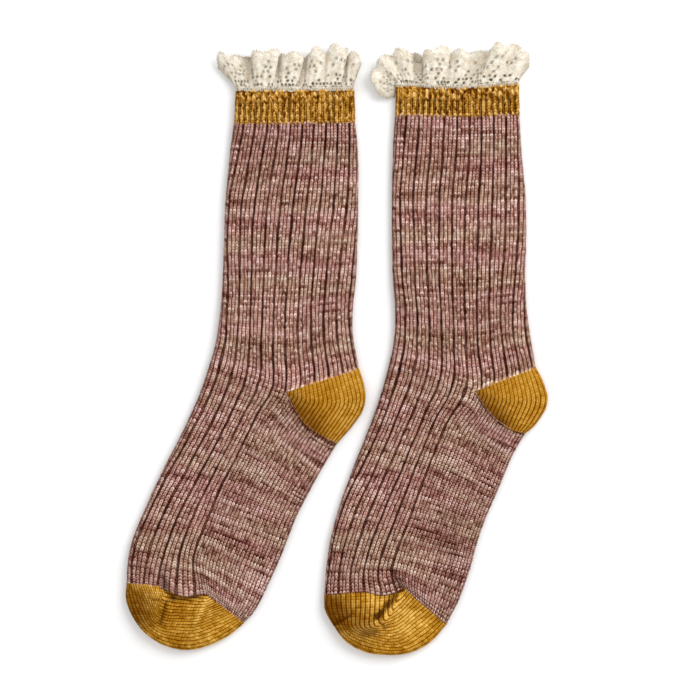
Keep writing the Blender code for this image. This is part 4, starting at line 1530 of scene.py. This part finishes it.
@dataclass
class Cuff(KnittedPart):
    """The mustard cuff in one-by-one rib, with an irregular edge where the lace is linked on."""

    ribs: int = 45                 # round the cuff
    edge_band: float = 4.8         # courses of irregular linking at the top
    middle_height: float = 6.8     # of both layers together, half-way down the cuff
    between_layers: float = 3.3    # the height above the floor at which the upper layer begins
    course_offset: float = 200.0   # sets its yarn's unevenness apart from the leg's

    def columns(self) -> list[Column]:
        """One knit wale and one sunken wale in turn: fine above, coarser underneath."""
        pitch = GAUGE.wales / self.ribs
        columns = []
        for rib in range(self.ribs):
            start, knit = pitch * (rib + 0.25), 2.0 * rib
            wale = stitch_columns(start + 0.18 * pitch, 0.64 * pitch, knit + 0.5, start < BACK_EDGE + 1)
            columns += [
                Column(start, knit, 0.5, 0.9, 0.3),
                Column(start + 0.11 * pitch, knit + 0.3, 1.0, 0.0, 1.0),
                wale[0]._replace(groove=0.25),
                *wale[1:],
                Column(start + 0.82 * pitch, knit + 1.5, 1.0, GAP, 0.25),
                Column(start + 0.89 * pitch, knit + 1.7, 1.0, 0.0, 1.0),
            ]
        return columns

    def build(self) -> Piece:
        """Makes the cuff's mesh."""
        s = self.sizes
        first, last = s.cuff[0], s.cuff[-1]
        middle = (np.array(first[:3]) + np.array(last[:3])) / 2
        courses = (first._replace(rib=1.0), Course(*(tuple(p) for p in middle), self.middle_height, 1.0),
                   last._replace(height=first.height))
        gauge = replace(GAUGE, course_pitch=1.85, groove_depth=1.4, arm_height=0.6, end_climb=0.1,
                        stitches=2 * self.ribs)
        form = TubeForm(courses, None, None, s.seed + 20, gauge)
        knit = TubeKnit(form, self.columns(), 0.0, form.courses + 0.3, self.course_offset, s.seed + 21)
        grid = knit.grid()
        self.roughen(grid)
        return self.dress(grid, "cuff", "mustard_cuff", "cuff", gauge)

    def roughen(self, grid: ClothGrid) -> None:
        """Turns the ribs into lumpy linking along the upper edge, with a shadow below it."""
        knit, course = grid.uv[..., 0], grid.uv[..., 1] - self.course_offset
        levels = grid.levels
        band = 1 - smooth_step(self.edge_band - 1.0, self.edge_band + 0.6, course)
        bumps = stitch_unrest(knit, 1.2 * course, self.sizes.seed + 22)
        upper = grid.outer[..., 2] > self.between_layers
        levels["arm"] = levels["arm"] * (1 - 0.4 * band) + band * upper * (0.8 * bumps + 0.1)
        levels["groove"] = levels["groove"] * (1 - 0.45 * band)
        # Painted shadow in a row below the band, painted shade between its low bumps, and painted light on
        # the high ones.
        below = np.exp(-((course - self.edge_band + 0.3) / 0.55) ** 2) * (0.4 + 0.3 * bumps)
        levels[PAINTED_SHADE] = np.clip(levels["groove"] + 0.4 * band * (bumps < -0.35) + below, 0, 1)
        levels[PAINTED_LIGHT] = np.clip(levels[PAINTED_LIGHT] * (1 - 0.4 * band) + band * (0.2 + 0.4 * bumps), 0, 1.2)


HIDDEN_WALES = 0.6         # how far a pocket reaches past its inner end, under the marl


def longer(values: Array, row: Array, end: int) -> Array:
    """A grid with one more row: at its start where end is 0, or else at its far end."""
    return np.concatenate([row[None], values] if end == 0 else [values, row[None]])


@dataclass
class Pocket(KnittedPart):
    """A heel or toe in plain mustard knit."""

    part: Part = Part.HEEL
    row_step: float = 0.5          # mm of outline a mesh row
    inner_rows: int = 14
    course_offset: float = 50.0    # sets its yarn's unevenness apart from the other pieces'

    def columns(self) -> list[Column]:
        """Plain wales, fine above and coarser underneath, between two hidden columns at its inner end."""
        count = self.sizes.heel_wales if self.part is Part.HEEL else self.sizes.toe_wales
        near, far = float(GAUGE.quarter), UNDER_MIDDLE
        return [
            Column(near - HIDDEN_WALES, -1.0, 1.0, 0.0, 0.0),
            *plain_columns(near, BACK_EDGE, count, 0.0, True),
            *plain_columns(BACK_EDGE, far, count, count, False),
            Column(far, 2.0 * count, 1.0, GAP, 0.0),
            Column(far + HIDDEN_WALES, 2.0 * count + 1, 1.0, 0.0, 0.0),
        ]

    def build(self) -> Piece:
        """Makes the pocket's mesh, with hidden strips that reach under the marl at its seams."""
        s = self.sizes
        is_heel = self.part is Part.HEEL
        edges, rays = (s.heel, s.heel_rays) if is_heel else (s.toe, s.toe_rays)
        folds = s.heel_folds if is_heel else s.toe_folds
        form = PocketForm(edges, rays, folds, s.seed + 40)
        outline = lengths(np.array([edge.turn for edge in edges]))[-1]
        at = np.linspace(0.0, form.last, round(outline / self.row_step) + 1)[:, None]
        wale, knit, climb, arm, groove = spread(self.columns(), at)
        at = at + 0 * wale
        outer, inner = form.points(wale, at), form.points(wale, at, GAUGE.cloth)
        course = self.course_numbers(outer, at, form.stops)
        crest = np.sin(np.pi * np.mod(course + GAUGE.arm_climb * climb, 1.0)) ** 0.7
        course = course + self.course_offset
        unrest = stitch_unrest(knit, course, s.seed + 41)
        from_edge = np.abs(wale - BACK_EDGE)
        tuck = (from_edge > GAUGE.quarter + HIDDEN_WALES - 0.1).astype(float)
        between = self.heel_gaps(at) if is_heel else self.toe_gaps(from_edge)
        levels = stitch_levels(arm, crest, 0.7 * unrest, groove, tuck, between)
        # Painted shade and light from the folds, painted shade on the hidden strips, and less painted shade
        # in the creases.
        shade = fold_sum(folds, outer[..., 0], outer[..., 1], True)
        levels[PAINTED_SHADE] = np.clip(levels[PAINTED_SHADE] + np.maximum(shade, 0) + 0.5 * tuck, 0, 1)
        levels[PAINTED_LIGHT] = levels[PAINTED_LIGHT] - np.minimum(shade, 0) + 0.3 * levels["crease"]
        grid = ClothGrid(outer, inner, np.stack([knit + 100, course], -1), levels, False, self.inner_rows)
        self.add_strips(grid, edges, rays)
        gauge = replace(GAUGE, arm_height=0.55, crease_depth=0.16)
        part = self.part.value
        return self.dress(grid, part, f"mustard_{part}", part, gauge)

    @staticmethod
    def heel_gaps(at: Array) -> Array:
        """How much painted shade the lines between a heel's wales get: faint near its upper seam, deep
        further on.
        """
        return 0.16 + 0.56 * smooth_step(1.8, 3.4, at)

    @staticmethod
    def toe_gaps(from_edge: Array) -> Array:
        """How much painted shade the lines between a toe's wales get: less near its folded edge."""
        return 0.54 - 0.34 * (1 - smooth_step(4.0, 14.0, from_edge))

    @staticmethod
    def course_numbers(points: Array, at: Array, stops: Sequence[float]) -> Array:
        """Counts courses along each wale, from the ray behind it and in the end from the last ray.

        Args:
            points: The grid in mm.
            at: The grid's rows of the outline's table.
            stops: Where the rays are, in the same rows.

        Returns:
            The course of each point.
        """
        along = lengths(points) / GAUGE.course_pitch
        starts = [along[np.argmin(np.abs(at[:, 0] - stop))] for stop in stops]
        region = np.clip(np.searchsorted(stops, at, side="right") - 1, 0, len(stops) - 2)
        column = np.broadcast_to(np.arange(points.shape[1]), at.shape)
        from_start = along - np.array(starts)[region, column]
        to_end = np.array(starts)[-1][column] - along
        return np.where(region == len(stops) - 2, to_end, from_start) + 30.0 * region

    @staticmethod
    def add_strips(grid: ClothGrid, edges: Sequence[Edge], rays: Sequence[Ray]) -> None:
        """Adds a sunken row beyond each seam, which the marl's zigzag end covers.

        Args:
            grid: The pocket, which grows by a row at each end.
            edges: Its outline.
            rays: The lines at which its wales bend. It ends at the first and the last of them.
        """
        reach = 1.5                      # mm past the seam
        middle, sink = 3.5, 0.45         # pressed flat towards this height, to this share
        for end, turn, inner, other in ((0, edges[0].turn, rays[0].places[2], edges[2].turn),
                                        (-1, edges[-1].turn, rays[-1].places[2], edges[-3].turn)):
            line = np.array(turn) - np.array(inner)
            side = np.array([line[1], -line[0]]) / np.linalg.norm(line)
            if side @ (np.array(other) - np.array(inner)) > 0:
                side = -side
            for points in ("outer", "inner"):
                row = getattr(grid, points)[end].copy()
                inward = np.linalg.norm(row[:, :2] - np.array(inner), axis=1)
                row[:, :2] += side * reach * smooth_step(0.5, 6.0, inward)[:, None]
                row[:, 2] = middle + (row[:, 2] - middle) * sink
                setattr(grid, points, longer(getattr(grid, points), row, end))
            grid.uv = longer(grid.uv, grid.uv[end], end)
            for name, values in grid.levels.items():
                grid.levels[name] = longer(values, values[end], end)


# -------- lace

class CellRow(NamedTuple):
    """One row of cells round the lace."""

    end: float             # its upper end, as a share of the lace's depth
    share: float           # of its cells that have an eyelet
    size: float            # of its eyelets


class Eyelet(NamedTuple):
    """One oval hole in the lace."""

    size: float
    lean: float            # in radians
    aside: float           # from its cell's middle, in quarter cells
    above: float           # the same in rows


@dataclass
class LaceMesh:
    """Points and faces of the gathered lace, whose flat cells are four quarters wide and one row high."""

    start: Array                   # where each quarter leaves the cuff, in mm
    bend: Array                    # towards which point it leaves
    free: Array                    # where it ends
    ends: Array                    # of the rows, as shares of the lace's depth
    places: list[Array] = field(default_factory=list)
    marks: list[Vec3] = field(default_factory=list)  # along, up and how much painted shade
    faces: list[list[int]] = field(default_factory=list)
    shared: dict[tuple[int, float], int] = field(default_factory=dict)     # numbers of the cells' corners
    pleat: float = 0.5             # the height of the small pleats near the cuff, in mm
    scallop: float = 0.8           # how far the free edge's scallops stand out
    point_out: float = 0.4         # and the small points on them
    hole_width: float = 0.54       # of an eyelet, as a share of its length
    hole_reach: Vec2 = (1.65, 0.4)     # of an eyelet of size 1, in quarters and rows
    hole_limits: Vec2 = (1.8, 0.44)    # from a cell's middle, so that thread is left between two holes

    def point(self, quarter: float, row: float, depth: float) -> int:
        """Adds a point.

        Args:
            quarter: Its place round the flat lace.
            row: Its place from the cuff outward.
            depth: How much painted shade the lace gets there.

        Returns:
            The point's number.
        """
        around, rows = len(self.start), len(self.ends) - 1
        low = math.floor(quarter)
        f, i, j = quarter - low, low % around, (low + 1) % around
        p, q, r = (line[i] * (1 - f) + line[j] * f for line in (self.start, self.bend, self.free))
        up = float(np.interp(row, range(rows + 1), self.ends)) + max(row - rows, 0.0) * 0.1
        pleat = self.pleat * math.sin(quarter * 1.05) * (1 - 0.8 * up) * min(1.0, 6 * up)
        self.places.append((1 - up) ** 2 * p + 2 * up * (1 - up) * q + up ** 2 * r + [0, 0, pleat])
        # Painted shade in the valleys between folds, where the free edge lies low.
        valley = 0.6 * min(max((8.5 - r[2]) / 5.0, 0.0), 1.0) ** 1.3 * min(1.0, 1.6 * up)
        self.marks.append((quarter / 3, 12 * up, max(depth, valley)))
        return len(self.places) - 1

    def corner(self, quarter: int, row: float) -> int:
        """The number of the point that neighbouring cells share."""
        key = (quarter % len(self.start), row)
        if key not in self.shared:
            wave = abs(math.sin(math.pi * quarter / 16))
            edge = self.scallop * wave + self.point_out * (quarter % 2) if row == len(self.ends) - 1 else 0.0
            self.shared[key] = self.point(key[0], row + edge, 0.0)
        return self.shared[key]

    def plain_cell(self, quarter: int, row: int) -> None:
        """Fills a cell with lace."""
        for low in (row, row + 0.5):
            for left in range(quarter, quarter + 4):
                self.faces.append([self.corner(left, low), self.corner(left + 1, low),
                                   self.corner(left + 1, low + 0.5), self.corner(left, low + 0.5)])

    def eyelet_cell(self, quarter: int, row: int, eyelet: Eyelet) -> None:
        """Fills a cell with lace round a hole.

        Args:
            quarter: The quarter at which the cell starts.
            row: Its row.
            eyelet: The hole.
        """
        lower, upper = [(k, row) for k in range(5)], [(k, row + 1) for k in (4, 3, 2, 1, 0)]
        ring = [self.corner(quarter + k, at) for k, at in (*lower, (4, row + 0.5), *upper, (0, row + 0.5))]
        count = len(ring)
        hole = []
        for k in range(count):
            angle = math.pi * (1.2 + 2 * k / count)
            narrow, tall = self.hole_width * eyelet.size * math.cos(angle), eyelet.size * math.sin(angle)
            across = narrow * math.cos(eyelet.lean) - tall * math.sin(eyelet.lean)
            up = narrow * math.sin(eyelet.lean) + tall * math.cos(eyelet.lean)
            (reach, limit), (row_reach, row_limit) = zip(self.hole_reach, self.hole_limits)
            aside = max(-limit, min(limit, eyelet.aside + reach * across))
            above = max(-row_limit, min(row_limit, eyelet.above + row_reach * up))
            # Painted shade round each eyelet.
            hole.append(self.point(quarter + 2 + aside, row + 0.5 + above, 0.8))
        for k in range(count):
            after = (k + 1) % count
            self.faces.append([ring[k], ring[after], hole[after], hole[k]])


@dataclass
class LaceFrill:
    """Gathered cotton lace: a ring of cloth with rows of eyelets and a scalloped edge."""

    sizes: SockSizes
    cotton: Material
    cell: float = 4.0              # mm from one eyelet to the next, in the flat lace
    thickness: float = 0.6
    rise: float = 5.0              # mm over which it stands up from the cuff before it spreads
    early_lean: float = 0.1        # how much of its way sideways it has made by then
    tuck: float = 1.3              # how far the lace reaches into the cuff's wall
    under_waves: int = 9           # folds of the side that rests flat
    under_depth: float = 21.5      # from the cuff to that side's free edge
    under_lifts: Vec2 = (2.9, 0.8)     # the heights of its ridges and troughs
    rows: tuple[CellRow, ...] = table(
        CellRow, (0.13, 0.8, 0.85), (0.26, 0.9, 1.2), (0.38, 0.8, 1.05), (0.49, 0.6, 0.85), (0.59, 0.45, 0.6),
        (0.69, 0.35, 0.5), (0.78, 0.35, 0.45), (0.87, 0.4, 0.4), (0.95, 0.0, 0.0))
    cells: int = 0                 # round the whole frill, worked out from its free edge

    def fold_lines(self) -> Array:
        """The wale at the cuff and the free edge's place for each fold line, round the ring."""
        s = self.sizes
        half = GAUGE.wales / 2
        upper = [(fold.share * half, fold.sideways, fold.up, fold.lift) for fold in s.frill]
        first, last = s.frill[0], s.frill[-1]
        low, depth = 0.8 * min(fold.up for fold in s.frill[3:7]), self.under_depth
        count = 2 * self.under_waves
        under = []
        for step in range(1, count):
            share = 1 - step / count
            sideways = np.interp(share, (0.0, 0.12, 1.0),
                                 (first.sideways, 0.6 * first.sideways, last.sideways))
            up = np.interp(share, (0.0, 0.06, 0.16, 0.92, 1.0), (first.up, low, depth, depth, last.up))
            under.append((GAUGE.wales - share * half, sideways, up, self.under_lifts[step % 2]))
        return np.array(upper + under)

    def lines(self) -> tuple[Array, Array]:
        """Start points at the cuff and end points at the free edge, one for each quarter cell."""
        s = self.sizes
        folds = self.fold_lines()
        form = TubeForm(s.cuff[:2], None, None, s.seed)
        turn = np.array([GAUGE.wales, 0, 0, 0])
        closed = np.vstack([folds[-2:] - turn, folds, folds[:3] + turn])
        t = np.linspace(2, len(folds) + 2, 40 * len(folds))
        value = catmull_rom(closed, t)
        start = form.points(value[:, 0], 0 * t, GAUGE.cloth / 2)
        start[:, 1] -= self.tuck
        free = np.column_stack([start[:, 0] + value[:, 1], start[:, 1] + value[:, 2], value[:, 3]])
        length = lengths(free)
        self.cells = 6 * round(length[-1] / self.cell / 6)
        at = np.linspace(0, length[-1], 4 * self.cells + 1)[:-1]
        return tuple(np.column_stack([np.interp(at, length, line[:, k]) for k in range(3)])
                     for line in (start, free))

    def build(self) -> Piece:
        """Makes the lace: cells with round eyelets, laid out on the gathered surface."""
        start, free = self.lines()
        bend = start + np.array([0.0, self.rise, 0.0])
        bend[:, 0] += self.early_lean * (free[:, 0] - start[:, 0])
        lace = LaceMesh(start, bend, free, np.array([0.0, *(row.end for row in self.rows)]))
        rng = np.random.default_rng(self.sizes.seed + 60)
        for row, kind in enumerate(self.rows):
            for cell in range(self.cells):
                quarter = 4 * cell + 2 * (row % 2)
                crowd = 0.85 + 0.35 * math.sin(0.9 * cell + 2.1 * row) * math.sin(0.37 * cell - 1.3 * row)
                if rng.uniform() >= kind.share * crowd:
                    lace.plain_cell(quarter, row)
                    continue
                size = kind.size * rng.uniform(0.5, 1.15)
                lean = (0.55 if cell % 2 else -0.55) + rng.uniform(-0.4, 0.4)
                eyelet = Eyelet(size, lean, rng.uniform(-0.35, 0.35), rng.uniform(-0.12, 0.12))
                lace.eyelet_cell(quarter, row, eyelet)
        return self.finish(lace)

    def finish(self, lace: LaceMesh) -> Piece:
        """Makes the piece, in threads of one thickness that rest on the floor or stand above it.

        Args:
            lace: Its points and faces.

        Returns:
            The piece.
        """
        s = self.sizes
        points = (np.array(lace.places) + [*s.heel_point, 0.0]) * MM
        points[:, 2] = np.maximum(points[:, 2], self.thickness / 2 * MM)
        marks = np.array(lace.marks)
        mesh = bpy.data.meshes.new(f"{s.side.value}_lace")
        mesh.from_pydata(points.tolist(), [], lace.faces)
        write_uv(mesh, marks[corner_points(mesh), :2])
        write_level(mesh, PAINTED_SHADE, marks[:, 2])
        mesh.shade_smooth()
        piece = placed(mesh)
        solid = piece.modifiers.new("Thickness", "SOLIDIFY")
        solid.thickness = self.thickness * MM
        solid.offset = 0.0
        keep_result(piece)
        piece.data.materials.append(self.cotton)
        declare(piece, f"{s.side.value}_frill")
        return piece


@dataclass
class LinkLoops:
    """The loops of cotton by which the lace hangs on the cuff's edge."""

    sizes: SockSizes
    cotton: Material
    tree: LoopTree
    loops: int = 58
    loop_width: float = 1.7        # mm
    thread: float = 0.3            # radius, mm
    unrest: float = 0.35           # how much one loop differs from the next
    wales: Vec2 = (1.5, 40.5)      # from the first loop to the last
    corners: int = 40              # of the line on which they stand
    height: float = 6.9            # mm above the floor, at most
    above_edge: float = 0.2        # mm beyond the cuff's edge

    def build(self) -> Piece:
        """Makes the loops' mesh along the upper edge of the cuff."""
        s = self.sizes
        form = TubeForm(s.cuff[:2], None, None, s.seed)
        wale = np.linspace(*self.wales, self.corners)
        line = form.points(wale, 0 * wale)
        line[:, 1] += self.above_edge
        line[:, 2] = np.minimum(line[:, 2] + 0.2, self.height)
        points = (line + [*s.heel_point, 0.0]) * MM
        mesh = bpy.data.meshes.new(f"{s.side.value}_link_loops")
        mesh.from_pydata(points.tolist(), [(k, k + 1) for k in range(self.corners - 1)], [])
        piece = placed(mesh)
        self.tree.apply(piece, Loops=self.loops, Loop_width=self.loop_width, Thread=self.thread,
                        Unrest=self.unrest, Seed=s.seed, Cotton=self.cotton)
        piece.data.shade_smooth()
        declare(piece, f"{s.side.value}_frill")
        return piece


# -------- one sock

@dataclass
class Sock:
    """One sock of the pair, dressed."""

    sizes: SockSizes
    finishes: Finishes
    relief: ReliefTree
    loops: LoopTree

    def build(self) -> None:
        """Makes every piece, each of which rides on the body and hides its solid, and reports their faces."""
        leg, foot = LegAndFoot(self.sizes, self.finishes.marl, self.relief).build()
        cuff = Cuff(self.sizes, self.finishes.cuff, self.relief).build()
        heel = Pocket(self.sizes, self.finishes.heel, self.relief, Part.HEEL).build()
        toe = Pocket(self.sizes, self.finishes.toe, self.relief, Part.TOE).build()
        lace = LaceFrill(self.sizes, self.finishes.lace)
        frill = lace.build()
        links = LinkLoops(self.sizes, self.finishes.lace, self.loops).build()
        for piece in (leg, foot, cuff, heel, toe, frill, links):
            LOG.info("%s: %d faces", piece.name, len(piece.data.polygons))


# -------- floor, light and camera

@dataclass(frozen=True)
class Studio:
    """A plain white floor, soft light from above and a camera that looks straight down."""

    view_width: float = 0.462      # what the photograph's frame spans at the floor, in m
    look_at: Vec2 = (0.0087, -0.0008)
    distance: float = 2.2
    sensor: float = 36.0           # mm
    fill: float = 0.66             # the strength of the light from all around
    floor_reach: float = 4.0

    def build(self) -> None:
        """Makes the floor, the lights and the camera."""
        self.add_floor()
        self.add_light("key", (0.9, 0.75, 1.1), 1.1, 19.0)
        self.add_light("fill", (-0.9, -0.3, 1.6), 1.8, 9.0)
        world = bpy.data.worlds.new("studio")
        bpy.context.scene.world = world
        world.use_nodes = True
        background = world.node_tree.nodes["Background"]
        background.inputs["Color"].default_value = (1.0, 1.0, 1.0, 1.0)
        background.inputs["Strength"].default_value = self.fill
        self.add_camera()

    def add_floor(self) -> None:
        """Adds the floor, in slightly uneven white paper."""
        mesh = bpy.data.meshes.new("floor")
        size = self.floor_reach
        corners = [(-size, -size, 0), (size, -size, 0), (size, size, 0), (-size, size, 0)]
        mesh.from_pydata(corners, [], [(0, 1, 2, 3)])
        floor = placed(mesh)
        paper = Shader("white_paper", 0.95)
        grain = paper.cloud(paper.object_place(), 40.0, 3.0)
        tone = paper.ramp(grain, [(0.3, (0.90, 0.90, 0.90, 1)), (0.7, (0.92, 0.92, 0.92, 1))])
        floor.data.materials.append(paper.finish(tone, 0.0))

    def add_camera(self) -> None:
        """Adds a camera that looks straight down and shows colours as they are."""
        camera = bpy.data.cameras.new("camera")
        camera.sensor_width = self.sensor
        camera.lens = self.sensor * self.distance / self.view_width
        camera.clip_end = 20.0
        holder = bpy.data.objects.new("camera", camera)
        holder.location = (*self.look_at, self.distance)
        bpy.context.scene.collection.objects.link(holder)
        bpy.context.scene.camera = holder
        bpy.context.scene.view_settings.view_transform = "Standard"

    @staticmethod
    def add_light(name: str, place: Vec3, size: float, power: float) -> None:
        """Adds a square soft light that faces the socks.

        Args:
            name, place: What it is called and where it stands, in m.
            size, power: The length of its side, in m, and its power in watts.
        """
        light = bpy.data.lights.new(name, "AREA")
        light.size, light.energy = size, power
        holder = bpy.data.objects.new(name, light)
        holder.location = place
        x, y, z = place
        holder.rotation_euler = (math.atan2(math.hypot(x, y), z), 0.0, math.atan2(x, -y))
        bpy.context.scene.collection.objects.link(holder)


def main() -> None:
    """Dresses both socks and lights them."""
    logging.basicConfig(level=logging.INFO, format="%(name)s %(message)s")
    finishes, relief, loops = Finishes.make(), ReliefTree(), LoopTree()
    Studio().build()
    for sizes in (LEFT, RIGHT):
        Sock(sizes, finishes, relief, loops).build()


if __name__ == "__main__":
    main()
